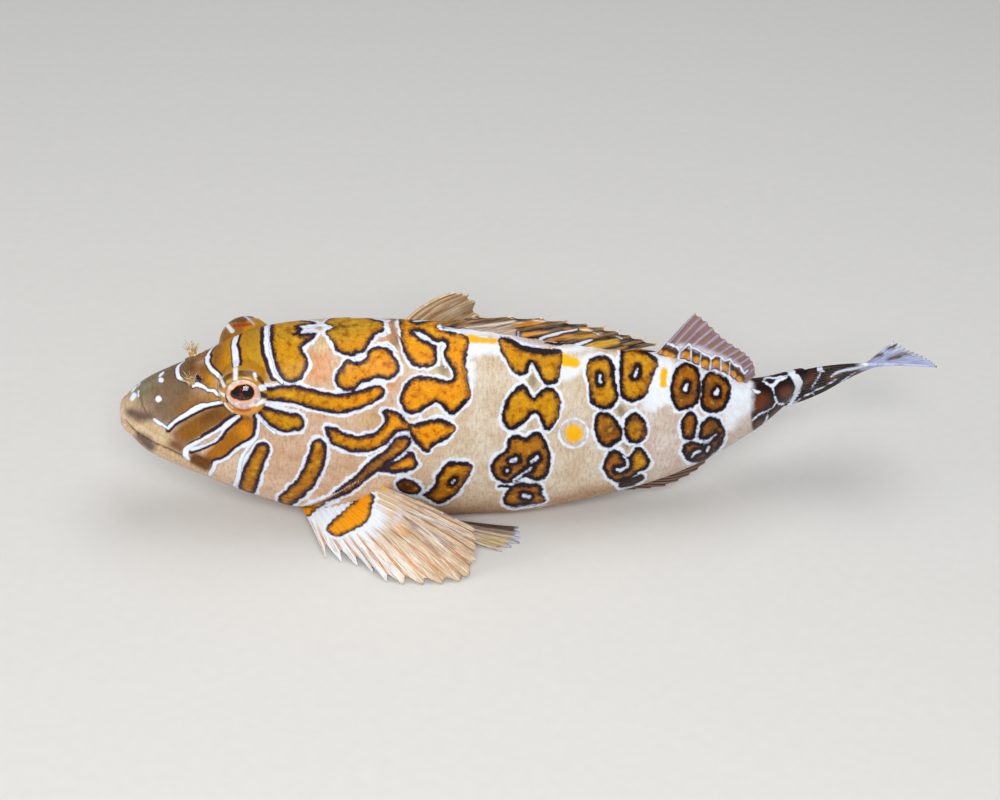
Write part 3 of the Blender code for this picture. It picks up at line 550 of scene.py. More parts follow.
WHITE_SPOTS = [
    [(161, 380, 2.6)], [(158.5, 399, 3)], [(153, 377, 1.1), (158, 374.5, 1.2)],
    [(134, 395, 2.6), (132, 399, 2)],
    [(138.5, 391, 0.8), (138.5, 396, 0.8)],
    [(305, 323, 1.4), (307, 328, 1.5), (303, 332, 1.1)],
    [(302, 332.7, 0.8), (310, 331.2, 1), (318, 331.5, 1.1), (324, 330, 1.8), (330, 326.5, 1.7),
     (335, 322.5, 1.2), (345, 320, 0.8)],
    [(382, 319, 1.6), (386, 327, 2), (389, 333, 2.2)],
    [(376, 339, 1.5), (383, 336, 2), (390, 332.5, 1.8)],
    [(378, 343, 1.8), (388, 342.5, 1.8), (393, 347, 1.5), (397, 352, 1.3)],
    [(380, 411, 1), (386, 407, 1.2)],
    [(518, 333, 1), (519, 340, 1.2), (526, 344, 1.4), (538, 346.5, 1.2), (546, 346, 0.8)],
    [(440, 328.5, 0.8), (455, 331, 1.1), (466, 333, 0.8)],
    [(480, 336.5, 1), (500, 337.5, 0.8)],
]
DARK_LINES = [
    [(300, 322, 1.4), (301.5, 328, 2), (299, 332, 1.6), (294, 334.6, 0.9)],
    [(399, 336, 0.8), (403, 344, 1)],
    [(197, 377, 2.2), (200, 380, 2)],
    [(503, 338, 1.2), (512, 340.5, 1.8), (520, 346, 2.2), (532, 349, 2.2), (546, 350.5, 2.4),
     (558, 352, 1.6)],
    [(520, 334.5, 1.2), (530, 337, 1.6), (545, 336, 1.6), (560, 337.5, 1.4)],
    [(546, 342.5, 1.4), (556, 344, 1.6), (570, 342.5, 1.2)],
]
# Broad white patches with soft edges, and bright yellow spots with no dark border
WHITE_PATCHES = [
    [(472, 350, 6), (484, 347, 5), (495, 348, 5)],
    [(471, 365, 2), (470, 385, 2)],
    [(566, 350, 2.5), (578, 347, 3.4), (590, 347, 3)],
    [(456, 331, 2), (480, 331, 3), (510, 334, 2)],
    [(567, 372, 6), (580, 364, 5), (590, 356, 3)],
    [(655, 380, 8), (652, 394, 10), (662, 375, 8), (664, 395, 8), (650, 404, 6)],
    [(665, 362, 6), (670, 376, 4)],
    [(733, 386, 6), (737, 398, 9), (741, 406, 8), (732, 414, 7), (730, 424, 5)],
    [(745, 388, 7), (747, 398, 4), (748, 408, 3)],
]
YELLOW_SPOTS = [
    [(460, 338, 4), (470, 339, 3.5), (482, 340, 3), (496, 341, 2.5)],
    [(559, 358, 6), (568, 361, 6), (576, 363, 4.5)],
    [(573.5, 434, 8.5)],
    [(664, 371, 3.2), (663, 384, 3.4)],
]
WHITE_RINGS = [((573.5, 433), 14.5, 1.4)]

# Ground under the marks: (colour name, softness in pixels, strokes), laid one over another
GROUND = [
    ("flank", 60, [(520, 420, 110), (640, 430, 150), (900, 420, 150)]),
    ("rear", 40, [(680, 420, 75), (780, 420, 90)]),
    ("pink", 20, [(290, 450, 34), (330, 470, 30), (380, 410, 10)]),
    ("tan", 9, [(318, 368, 16), (322, 356, 9)]),
    ("bisque", 5, [(320, 346, 7), (325, 338, 5)]),
    ("tan", 8, [(393, 385, 6), (389, 335, 6)]),
    ("moss", 4, [(392, 348, 3), (398, 340, 4)]),
    ("moss", 4, [(440, 362, 3), (444, 370, 5)]),
    ("moss", 4, [(533, 378, 4), (532, 384, 3)]),
    ("moss", 4, [(620, 408, 4), (622, 414, 5)]),
    ("moss", 4, [(627, 445, 4)]),
    ("pearl", 3, [(500, 334, 3), (530, 340, 4), (560, 344, 2)]),
    ("orange", 1, [(550, 339, 2), (568, 339.5, 2)]),
    # Painted shade: the belly layer darkens the lower flank, where less light falls
    ("belly", 9, [(430, 506, 5), (480, 514, 9), (540, 510, 11), (590, 496, 9), (640, 482, 6)]),
    ("gold", 4, [(222, 325, 14), (222, 345, 15), (222, 366, 12)]),
    ("gold", 4, [(250, 322, 17), (251, 350, 16), (253, 368, 15), (262, 378, 6)]),
    ("ochre", 8, [(220, 326, 6), (214, 372, 6)]),
    ("olive", 9, [(250, 335, 7), (256, 358, 6)]),
    ("snout", 14, [(175, 380, 26), (170, 402, 26), (152, 385, 18)]),
    ("tip", 12, [(140, 392, 12), (150, 380, 8)]),
    ("brown", 8, [(192, 368, 7)]),
    ("bronze", 6, [(205, 370, 8), (208, 384, 6)]),
    ("hazel", 12, [(212, 398, 8), (196, 404, 9), (184, 412, 7)]),
    ("gold", 6, [(216, 395, 4), (210, 378, 3)]),
    ("bronze", 3, [(224, 412, 9), (208, 420, 9), (194, 429, 10), (180, 438, 9)]),
    ("brown", 9, [(216, 414, 6), (205, 420, 5)]),
    ("clay", 7, [(172, 440, 7), (182, 446, 5)]),
    ("amber", 3, [(246, 426, 11), (238, 436, 11), (224, 449, 10), (212, 456, 7)]),
    ("orange", 9, [(246, 430, 5)]),
    ("brown", 3, [(195, 459, 6), (206, 464, 7)]),
    ("pink", 2, [(217, 433, 1.5), (209, 439.5, 1.5)]),
    ("cream", 5, [(134, 424, 6), (146, 427, 7), (158, 433, 7), (168, 440, 5)]),
    ("cream", 4, [(158, 447, 5), (170, 453, 5), (184, 460, 4)]),
    ("grey", 5, [(130, 412, 5), (140, 416, 6), (150, 416, 4)]),
    ("grey", 4, [(139, 436, 4), (146, 441, 6), (151, 446, 5)]),
    ("brown", 6, [(172, 444, 3), (180, 449, 3)]),
    ("straw", 5, [(126, 404, 3), (132, 400, 4)]),
    # Thin grey and sepia lines along the lip folds: painted shade in these creases
    ("grey", 1, [(139, 387, 0.4), (140.5, 396, 0.6), (143, 406, 0.7), (148, 416, 0.6)]),
    ("sepia", 1, [(125, 419, 0.3), (137, 432.5, 0.6), (152, 442, 0.6), (171, 449.5, 0.6),
                  (184, 456, 0.4)]),
    ("straw", 5, [(364, 421, 5), (376, 417, 6)]),
    ("clay", 6, [(392, 328, 3), (396, 340, 3)]),
    ("dusk", 1.5, [(768, 397, 20.5), (762, 424, 10.5), (772, 384, 13)]),
    ("bark", 1.5, [(790, 424, 16), (812, 408, 16)]),
    ("bark", 1.5, [(770, 397, 19), (764, 424, 9), (786, 388, 16), (782, 404, 16), (820, 380, 24),
                   (850, 368, 16)]),
    ("rust", 5, [(757, 405, 6), (762, 400, 7)]),
    ("rust", 4, [(785, 393, 5), (788, 391, 4)]),
    ("rust", 3, [(759, 424, 3.5)]),
    ("rust", 3, [(776, 413, 2.5), (772, 419, 2)]),
    ("rust", 4, [(800, 397, 3), (806, 392, 3)]),
]
# Skin turned from the camera starts from the belly tone, which is painted shade, with dark bark
# towards the tail
UNDERSIDE = [("bark", 7, [(850, 420, 94)])]
FILLS = [
    ("orange", 40, [(430, 400, 90)]),
    ("gold", 40, [(540, 400, 50), (620, 400, 60)]),
    ("olive", 14, [(285, 326, 12), (345, 322, 14), (380, 320, 6)]),
    ("amber", 26, [(318, 470, 16), (300, 500, 16), (250, 480, 16), (380, 464, 14)]),
    ("orange", 8, [(400, 467, 12)]),
    ("ochre", 6, [(400, 442, 3), (380, 460, 4), (360, 478, 5)]),
    ("sepia", 5, [(404, 486, 8)]),
    ("rust", 4, [(412, 487, 4)]),
    ("amber", 20, [(440, 490, 14), (605, 430, 24)]),
    ("dim", 16, [(520, 494, 16), (612, 440, 10), (615, 465, 14)]),
    ("dim", 24, [(690, 390, 30), (700, 400, 30), (700, 440, 40)]),
    ("brown", 5, [(608, 430, 5), (716, 384, 3), (712, 436, 4), (636, 430, 2)]),
]
# belly is a tone of painted shade, darker than the flank
TONES = {
    "cheek": (222, 196, 170), "flank": (222, 210, 190), "rear": (220, 210, 204),
    "pink": (216, 184, 158), "tan": (222, 164, 118), "gold": (204, 144, 6), "orange": (236, 154, 4),
    "olive": (190, 150, 40), "hazel": (150, 106, 44), "snout": (126, 104, 80),
    "tip": (140, 136, 112), "brown": (112, 72, 28), "amber": (176, 112, 12),
    "cream": (216, 196, 160), "grey": (112, 94, 80), "bark": (34, 18, 15), "rust": (112, 54, 24),
    "sepia": (84, 42, 12), "belly": (186, 154, 126), "white": (236, 242, 250),
    "black": (26, 18, 20), "ring": (190, 136, 40), "sand": (214, 186, 150),
    "ivory": (240, 232, 218), "lilac": (172, 160, 190), "mauve": (150, 118, 104),
    "bronze": (146, 98, 30), "ochre": (150, 104, 40), "umber": (74, 46, 24), "ice": (190, 200, 236),
    "dusk": (66, 52, 60), "straw": (214, 190, 142), "yellow": (250, 186, 14),
    "clay": (160, 118, 88), "honey": (200, 146, 78), "wheat": (232, 200, 150),
    "apricot": (214, 150, 92), "plum": (126, 108, 124), "red": (170, 62, 22),
    "pearl": (224, 214, 222), "moss": (158, 148, 118), "dim": (170, 100, 8),
    "bisque": (228, 206, 166),
}
# Tones of the marks, and sizes in pixels: the white line round a blotch, and the dark border on the
# head and on the body, which changes between two columns and keeps a share of itself at thin edges
DARK = (24, 9, 14)
DARK_SPECKS = (66, 36, 30)
STAIN = (104, 56, 10)
BLUISH = (160, 178, 222)
PURPLE = (48, 27, 42)
OUTLINE = 3.0
HEAD_BORDER = 3.2
BODY_BORDER = 3.8
BORDER_COLUMNS = (390, 480)
THIN_SHARE = 0.25
THIN_EDGE = 4
WHITE = (236, 242, 250)
YELLOW = (250, 186, 14)


def linear(colour):
    """Scene colour of an sRGB colour given as 0 to 255."""
    c = np.array(colour, float) / 255
    return np.where(c <= 0.04045, c / 12.92, ((c + 0.055) / 1.055) ** 2.4)


def stroke_distance(pixels, stroke):
    """Distance in pixels from points to a stroke's edge, negative inside."""
    nearest = np.full(pixels.shape[:-1], 1e3)
    stroke = np.array(stroke, float)
    if len(stroke) == 1:
        stroke = np.concatenate([stroke, stroke])
    for start, end in zip(stroke, stroke[1:]):
        run = end[:2] - start[:2]
        away = pixels - start[:2]
        share = np.clip(away @ run / max(run @ run, 1e-9), 0, 1)
        gap = np.linalg.norm(away - share[..., None] * run, axis=-1)
        nearest = np.minimum(nearest, gap - start[2] - share * (end[2] - start[2]))
    return nearest


def strokes_distance(pixels, strokes):
    """Distance in pixels from points to the nearest of several strokes."""
    return np.min([stroke_distance(pixels, stroke) for stroke in strokes], axis=0)


def border_distance(pixels, lines):
    """Distance to the dark borders of lines, whose breadths differ from side to side."""
    nearest = np.full(pixels.shape[:-1], 1e3)
    for left, right, stroke in lines:
        for start, end in zip(stroke, stroke[1:]):
            run = np.subtract(end[:2], start[:2])
            away = pixels - np.array(start[:2])
            side = run[0] * away[..., 1] - run[1] * away[..., 0]
            edge = stroke_distance(pixels, [start, end])
            nearest = np.minimum(nearest, edge - np.where(side > 0, right, left))
    return nearest


def rounded(corners):
    """Corners of an outline cut off twice, so that it runs smoothly."""
    for _ in range(2):
        after = np.roll(corners, -1, axis=0)
        cut = [0.75 * corners + 0.25 * after, 0.25 * corners + 0.75 * after]
        corners = np.stack(cut, axis=1).reshape(-1, 2)
    return corners


def outline_distance(pixels, outline):
    """Distance in pixels from points to a closed outline, negative inside."""
    corners = rounded(np.array(outline, float))
    nearest = np.full(pixels.shape[:-1], 1e3)
    inside = np.zeros(pixels.shape[:-1], bool)
    for start, end in zip(corners, np.roll(corners, -1, axis=0)):
        run = end - start
        away = pixels - start
        share = np.clip(away @ run / max(run @ run, 1e-9), 0, 1)
        nearest = np.minimum(nearest, np.linalg.norm(away - share[..., None] * run, axis=-1))
        between = (start[1] > pixels[..., 1]) != (end[1] > pixels[..., 1])
        inside ^= between & (run[0] * away[..., 1] * np.sign(run[1]) > away[..., 0] * abs(run[1]))
    return np.where(inside, -nearest, nearest)


def layered(colours, pixels, layers):
    """Colours with soft-edged layers of strokes over them."""
    for tone, softness, stroke in layers:
        share = smoothstep(softness, -softness, stroke_distance(pixels, stroke))[..., None]
        colours = colours * (1 - share) + linear(TONES[tone]) * share
    return colours


def laid(pixels, start, layers):
    """Colours built up from a first tone by layers."""
    return layered(np.broadcast_to(linear(TONES[start]), (*pixels.shape[:-1], 3)), pixels, layers)


# A distance with no mark near, and how far skin is turned from the camera where marks end
NO_MARK = 60.0
UNDERSIDE_TURNS = (-0.1, 0.12)


def marks(pixels, blotches=(), outlines=(), holes=(), lines=(), darks=(), spots=(), patches=(),
          yellows=(), thins=(), border=HEAD_BORDER):
    """Distances in pixels from the photo's places of points to each kind of mark."""
    far = np.full(pixels.shape[:-1], NO_MARK)
    fields = {"blotch": far, "line": far, "dark": far, "white": far, "patch": far, "yellow": far}
    strokes_of = (blotches, [line[2] for line in lines], darks, spots, patches, yellows)
    for name, strokes in zip(fields, strokes_of):
        if strokes:
            fields[name] = strokes_distance(pixels, strokes)
    for outline in outlines:
        fields["blotch"] = np.minimum(fields["blotch"], outline_distance(pixels, outline))
    if holes:
        fields["blotch"] = np.maximum(fields["blotch"], -strokes_distance(pixels, holes))
    if lines:
        fields["dark"] = np.minimum(fields["dark"], border_distance(pixels, lines))
    fields["border"] = border * np.ones(pixels.shape[:-1])
    if thins:
        full = smoothstep(-THIN_EDGE, THIN_EDGE, strokes_distance(pixels, thins))
        fields["border"] *= full * (1 - THIN_SHARE) + THIN_SHARE
    return fields


def skin_marks(points):
    """Distances to the marks, in pixels, and colours, for the left half of the skin."""
    placed = place_side(points, 1)
    pixels = to_pixels(placed)
    on_body = smoothstep(*BORDER_COLUMNS, pixels[..., 0])
    border = HEAD_BORDER + (BODY_BORDER - HEAD_BORDER) * on_body
    fields = marks(pixels, BLOTCHES, OUTLINES, HOLES, LINES, DARK_LINES, WHITE_SPOTS, WHITE_PATCHES,
                   YELLOW_SPOTS, THIN_EDGES, border)
    for centre, radius, width in WHITE_RINGS:
        around = np.linalg.norm(pixels - np.array(centre), axis=-1)
        fields["white"] = np.minimum(fields["white"], np.abs(around - radius) - width)
    seen = -grid_normals(placed) @ camera_axes()[2]
    under = smoothstep(*reversed(UNDERSIDE_TURNS), seen)
    for name in fields.keys() - {"border"}:
        fields[name] = fields[name] + NO_MARK * under
    ground = laid(pixels, "cheek", GROUND)
    # below: skin turned from the camera, in the belly tone of painted shade
    below = laid(pixels, "belly", UNDERSIDE)
    fields["ground"] = ground * (1 - under[..., None]) + below * under[..., None]
    fields["fill"] = laid(pixels, "gold", FILLS)
    return fields


# The right side repeats the left with its marks shifted: how far, in grid steps, over what length
SHIFT_STEPS = 5.0
SHIFT_LENGTH = 46.0
SHIFT_STARTS = (75, 110)
SHIFT_TURN = 4.1
RIGHT_GRAIN = (3.1, 0, 400.0)
# The far eye's dome: how far the skin there faces the camera, and how far beyond the dome it ends
FAR_TURNS = (-0.05, 0.05)
FAR_RIM = (1, 3)


def other_side(values, station, angle):
    """Values of the left half moved about smoothly, so that the right side isn't a mirror copy."""
    rows, columns = station.shape
    fade = np.sin(angle) ** 2 * smoothstep(*SHIFT_STARTS, station)
    down = SHIFT_STEPS * fade * np.sin(station / SHIFT_LENGTH * 2 * math.pi + 2 * angle)
    across = SHIFT_STEPS * fade * np.cos(station / SHIFT_LENGTH * SHIFT_TURN + angle)
    row = np.clip(np.arange(rows)[:, None] + down, 0, rows - 1.001)
    column = np.clip(np.arange(columns)[None] + across, 0, columns - 1.001)
    i, j = row.astype(int), column.astype(int)
    a, b = row - i, column - j
    if values.ndim == 3:
        a, b = a[..., None], b[..., None]
    top = values[i, j] * (1 - b) + values[i, j + 1] * b
    bottom = values[i + 1, j] * (1 - b) + values[i + 1, j + 1] * b
    return top * (1 - a) + bottom * a


def rebuilt(points):
    """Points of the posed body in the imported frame's metres."""
    return (np.asarray(points) + SHIFT) * MM


def mesh_object(name, points, faces, fields, material, slot):
    """A smooth-shaded object from posed points in millimetres, with its fields as attributes."""
    mesh = bpy.data.meshes.new(name)
    mesh.from_pydata(rebuilt(points).tolist(), [], faces)
    for face in mesh.polygons:
        face.use_smooth = True
    for field, values in fields.items():
        values = np.asarray(values, float)
        if values.ndim == 1:
            mesh.attributes.new(field, "FLOAT", "POINT").data.foreach_set("value", values)
            continue
        vector = mesh.attributes.new(field, "FLOAT_VECTOR", "POINT")
        vector.data.foreach_set("vector", values.ravel())
    mesh.materials.append(material)
    obj = bpy.data.objects.new(name, mesh)
    bpy.context.collection.objects.link(obj)
    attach(obj, "root")
    return obj


def ring_faces(rows, columns):
    """Quads between rings of points, each ring closed on itself."""
    i, j = np.meshgrid(np.arange(rows - 1), np.arange(columns), indexing="ij")
    a, b = i * columns + j, i * columns + (j + 1) % columns
    return np.stack([a, b, b + columns, a + columns], axis=-1).reshape(-1, 4).tolist()


def both_halves(left, right):
    """Rings right round the body from the fields of its left half and its right half."""
    return np.concatenate([left, right[:, -2:0:-1]], axis=1)


def far_orbit(points):
    """How far, 0 to 1, a point of the right half is on the far eye's dome, seen in the photo."""
    placed = place_side(points, -1)
    seen = grid_normals(placed) @ camera_axes()[2]
    away = np.linalg.norm(points - np.array(EYE_PLACE), axis=-1)
    inner, outer = ORBIT_RADIUS + FAR_RIM[0], ORBIT_RADIUS + FAR_RIM[1]
    return smoothstep(*FAR_TURNS, seen) * smoothstep(outer, inner, away)


def skin(material):
    """The one skin over head, body and tail."""
    points, station, angle, arc = half_skin()
    rings = both_halves(place_side(points, 1), place_side(points, -1))
    rows, columns, _ = rings.shape
    fields = skin_marks(points)
    fields["grain"] = np.stack([station, arc, np.zeros_like(arc)], axis=-1)
    fields["scaly"] = smoothstep(*LOOK_STARTS, station) * smoothstep(SKIN_END, LOOK_ENDS, station)
    around = {}
    far = far_orbit(points)
    for name, values in fields.items():
        right = other_side(values, station, angle)
        if name == "grain":
            right = values + np.array(RIGHT_GRAIN)
        if name == "ground":
            painted_over = layered(right, to_pixels(place_side(points, -1)), FAR_LAYERS)
            right = right + (painted_over - right) * far[..., None]
        if name in ("line", "dark"):
            right = right + NO_MARK * far
        values = both_halves(values, right)
        values = values.reshape(rows * columns, *values.shape[2:])
        around[name] = np.concatenate([values, values[:1], values[-1:]])
    ends = [in_body(0.0, 0.0, through(BACK, 0)), in_body(SKIN_END + TAIL_POINT, 0.0, 0.0)]
    faces = ring_faces(rows, columns)
    snout, tail = rows * columns, rows * columns + 1
    last = (rows - 1) * columns
    for j in range(columns):
        after = (j + 1) % columns
        faces.append((snout, after, j))
        faces.append((tail, last + j, last + after))
    points = np.concatenate([rings.reshape(-1, 3), ends])
    obj = mesh_object("skin", points, faces, around, material, "patterned_skin")
    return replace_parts(obj, "head", "torso", "tail")


# Eyes: profiles of (degrees from the way it looks, distance from the eye's centre)
LID_PROFILE = [(47, 10.4), (46, 11.4), (47.5, 12.0), (51, 12.35), (57, 12.5), (65, 12.5),
               (72, 12.5), (80, 12.4), (92, 12.0), (100, 11.0)]
BALL_BACK = [(50, 11.2), (60, 11.3), (90, 11.3), (120, 11.3), (150, 11.3), (175, 11.3)]
CORNEA_PROFILE = [(0.5, 11.7), (10, 11.7), (20, 11.7), (30, 11.65), (40, 11.6), (47, 11.4),
                  (50, 11.2)]
IRIS_RADIUS = 8.7
IRIS_DEPTHS = [(0, 9.4), (3.5, 9.2), (6, 8.5), (8.7, 7.0)]
PUPIL = [(-5.6, 0.4, 0.3), (-3.4, 0.8, 2.3), (-0.8, 1.5, 3.6), (1.4, 1.9, 3.7)]
PUPIL_SINK = 0.9
LID_LAYERS = [
    ("brown", 1.5, [(222, 385, 3), (230, 377, 3.5), (240, 374, 3.5), (252, 374, 3)]),
    ("olive", 1.5, [(228, 382, 2), (240, 378.5, 2), (250, 378, 1.6)]),
    ("umber", 1, [(219, 384, 0.5), (226, 376, 0.5), (237, 371.6, 0.5), (250, 371.6, 0.5),
                  (261, 377, 0.5)]),
    ("white", 1, [(235.5, 369, 2.3), (235.5, 379, 2.1)]),
    ("white", 1, [(220, 378, 1.6), (224, 386, 1.6)]),
    ("white", 1, [(219, 392, 1.4), (225, 396, 1.4)]),
    ("white", 1, [(254.5, 374, 1.7), (256.5, 379, 1.4)]),
    ("brown", 1, [(259, 378, 2), (265, 384, 1.6)]),
    ("umber", 0.8, [(257, 378, 0.8), (264, 385, 0.8)]),
    ("white", 1, [(261, 388, 3.2), (266, 387, 2.6)]),
    ("black", 0.8, [(261, 394, 2.6), (265, 396, 2.6)]),
    ("rust", 1, [(268.5, 387, 1.4), (269, 399, 1.4)]),
    ("gold", 1.5, [(221, 398, 2), (223, 403, 1.8)]),
    ("umber", 1, [(227, 396, 2.2), (228, 401, 1.8)]),
    ("white", 1, [(256, 404, 2.4), (264, 401, 2.2), (268, 403, 1.4)]),
    ("orange", 2, [(231, 411, 2), (240, 413, 2.4), (250, 413, 2.4), (260, 408, 2)]),
    ("red", 1.2, [(234, 409, 1), (243, 411, 1.5), (250, 410, 1)]),
    ("white", 0.8, [(225, 404, 1.2), (228, 409, 1.6), (234, 414, 1)]),
    ("cream", 0.8, [(234, 414.5, 0.6), (244, 416.5, 0.7), (256, 414, 0.6), (264, 408, 0.5)]),
]
# Tones on the far eye's dome, as seen over the head
FAR_LAYERS = [
    ("ochre", 3, [(219, 328, 5), (224, 336, 6), (236, 330, 8)]),
    ("brown", 1.5, [(229, 319, 4), (243, 318, 5)]),
    ("red", 1, [(235, 325.5, 1.6), (244, 325, 1.8), (251, 324, 1)]),
    ("white", 0.8, [(222.5, 319, 1.6), (227, 325, 2), (232, 331, 2.2)]),
    ("ice", 0.7, [(241, 314.5, 0.9), (247, 317.5, 1), (254, 324, 1)]),
]
LID_NARROWING = (3.0, 9.0)
LID_NARROWED = (50, 74)
LID_SIZE = (40, 160)
EYE_COLUMNS = 96
IRIS_RINGS = 40
IRIS_START = 0.02
BACK_RINGS = 20
CORNEA_RINGS = 16
NO_PUPIL = 9.0
PUPIL_EDGE = (-0.5, 0.1)


def eye_frame():
    """Directions of the left eye: out, forward and up, in station, left and up."""
    out = eye_axis()
    forward = np.array([-1.0, 0, 0])
    forward = unit(forward - (forward @ out) * out)
    up = np.cross(out, forward)
    return out, forward, up * np.sign(up[2])


def smooth_profile(profile, steps):
    """A profile of (degrees, distance) resampled by length."""
    degrees, distance = np.array(profile, float).T
    x, y = distance * np.cos(np.radians(degrees)), distance * np.sin(np.radians(degrees))
    length = np.concatenate([[0], np.cumsum(np.hypot(np.diff(x), np.diff(y)))])
    at = np.linspace(0, length[-1], steps)
    return np.interp(at, length, x), np.interp(at, length, y)


def turned_points(along, radius, columns=EYE_COLUMNS):
    """Rings round the left eye's axis at distances out from its centre, in station, left and up."""
    out, forward, up = eye_frame()
    turn = np.linspace(0, 2 * math.pi, columns, endpoint=False)
    ring = np.cos(turn)[:, None] * forward + np.sin(turn)[:, None] * up
    return np.array(EYE_PLACE) + along[:, None, None] * out + radius[:, None, None] * ring[None]


def turned_object(name, rings, side, fields, material):
    """A turned piece of an eye, on one side."""
    rows, columns, _ = rings.shape
    faces = ring_faces(rows, columns)
    if side == 1:
        faces = [face[::-1] for face in faces]
    flat = {key: values.reshape(rows * columns, *values.shape[2:])
            for key, values in fields.items()}
    return mesh_object(name, place_side(rings, side).reshape(-1, 3), faces, flat, material, "eye")


def lid(side_name, side, material):
    """The ring of skin round an eye, its opening lower than it is long."""
    rings, columns = LID_SIZE
    rings = narrowed(turned_points(*smooth_profile(LID_PROFILE, rings), columns))
    ground = laid(to_pixels(place_side(rings, 1)), "ring", LID_LAYERS)
    if side == -1:
        ground = layered(ground, to_pixels(place_side(rings, -1)), FAR_LAYERS)
    return turned_object("eyelid_" + side_name, rings, side, {"ground": ground}, material)


def narrowed(rings):
    """Rings of a lid drawn in over the top and bottom of the eye, at the same distance out."""
    out, forward, up = eye_frame()
    away = rings - np.array(EYE_PLACE)
    distance = np.linalg.norm(away, axis=-1)
    angle = np.degrees(np.arccos(np.clip(away @ out / distance, -1, 1)))
    turn = np.arctan2(away @ up, away @ forward)
    above, below = LID_NARROWING
    drawn = np.where(turn > 0, above, below) * np.sin(turn) ** 2
    angle = angle - drawn * smoothstep(*reversed(LID_NARROWED), angle)
    angle = np.radians(angle)
    flat = np.cos(turn)[..., None] * forward + np.sin(turn)[..., None] * up
    turned = np.cos(angle)[..., None] * out + np.sin(angle)[..., None] * flat
    return np.array(EYE_PLACE) + distance[..., None] * turned


def eyeball(side_name, side, material):
    """The ball with its iris sunk behind the cornea and its pupil deeper."""
    radius = np.linspace(IRIS_START, IRIS_RADIUS, IRIS_RINGS)
    along = through(IRIS_DEPTHS, radius)
    back = smooth_profile(BALL_BACK, BACK_RINGS)
    rings = turned_points(np.concatenate([along, back[0]]), np.concatenate([radius, back[1]]))
    out, forward, up = eye_frame()
    away = rings - np.array(EYE_PLACE)
    flat = np.stack([-(away @ forward), away @ up], axis=-1)
    pupil = stroke_distance(flat, PUPIL)
    front = np.arange(len(rings))[:, None] < IRIS_RINGS
    pupil = np.where(front, pupil, NO_PUPIL)
    rings = rings - out * (PUPIL_SINK * smoothstep(*reversed(PUPIL_EDGE), pupil))[..., None]
    spread = np.concatenate([flat, np.linalg.norm(flat, axis=-1)[..., None]], axis=-1)
    fields = {"pupil": pupil, "iris": spread}
    obj = turned_object("eye_ball_" + side_name, rings, side, fields, material)
    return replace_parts(obj, "eye_" + side_name)


def cornea(side_name, side, material):
    """The clear dome over the iris."""
    rings = turned_points(*smooth_profile(CORNEA_PROFILE, CORNEA_RINGS))
    return turned_object("cornea_" + side_name, rings, side, {}, material)


# Fins
PECTORAL_LEFT = [
    (0, (124, 29.5, -20), (140, 46, -16), (164.5, 52, -27)),
    (0.2, (116, 27, -26), (140, 48, -22), (166, 52.5, -42)),
    (0.35, (110, 25, -31), (134, 48, -28), (160.5, 59.5, -52)),
    (0.5, (104.5, 23, -34), (122, 47, -33), (145, 62.5, -52)),
    (0.65, (99, 20.5, -37), (111, 43, -37), (128, 62, -52)),
    (0.8, (93, 18, -40), (102, 36, -41), (115, 51, -52)),
    (1, (85, 14, -44), (90, 27, -45), (95.5, 43, -52)),
]
PECTORAL_RIGHT = [
    (0, (124, 29.5, -20), (122, 62, 18), (161, 63, 30)),
    (0.15, (118, 27.5, -24), (126, 63, 12), (168, 66, 27)),
    (0.35, (110, 25, -31), (130, 60, -8), (176, 76, 2)),
    (0.55, (103, 22, -35), (122, 56, -24), (164, 78, -30)),
    (0.72, (96, 19, -38.5), (110, 47, -34), (142, 70, -52)),
    (0.86, (90.5, 17, -41), (99, 38, -40), (118, 56, -52)),
    (1, (85, 14, -44), (90, 27, -45), (97, 43, -52)),
]
PELVIC = [
    (0, (132, 19.5, -45.5), (150, 30, -46), (180, 39, -52)),
    (0.5, (136, 17.5, -46.5), (156, 26, -48), (190, 31, -52)),
    (1, (140, 15.5, -47.5), (160, 20, -50), (190, 21, -52)),
]
SPINE_LENGTHS = (18, 25, 30, 31, 31, 29, 26, 22, 18, 14)
SPINE_BASE = (146.0, 237.0)
SPINE_RISE_DEGREES = 22.0
SOFT_BASE = (252.0, 295.0)
SOFT_TIPS = [(0, 267, 27.5), (0.15, 272, 26), (0.4, 281, 21.5), (0.65, 290, 19), (0.85, 295, 14),
             (1, 298, 6)]
ANAL_BASE = (232.0, 268.0)
ANAL_TIPS = [(0, 250, -6), (0.3, 268, -10), (0.6, 282, -11), (0.85, 289, -8.5), (1, 290, -5)]
CAUDAL_KEYS = [
    (0, 17, (350, 9.5, 26.5), (394.5, 10, 22)),
    (0.25, 10, (350.5, 16, 18), (394, 18.5, 19.5)),
    (0.5, 0, (354, 25, 7), (391, 28, 17)),
    (0.75, -10, (353, 28, -3), (387.5, 37.5, 14)),
    (1, -17, (349, 29, -12.5), (384, 46, 13)),
]
STEPS_PER_RAY = 10
FIN_ROWS = 60
ROOT_REACH = 0.07
NOTCH_SHARPNESS = 1.5
RIDGE_START = 0.45
RIDGE_SHARPNESS = 1.3
# How a fin with its root on the body's side stays off the skin: gap, shares along the fin over
# which it rises off and sinks in, and how deep the root lies
FIN_GAP = 0.3
FIN_RISES = (0.02, 0.12)
FIN_SINKS = (0, 0.04)
FIN_SINK = 2.0


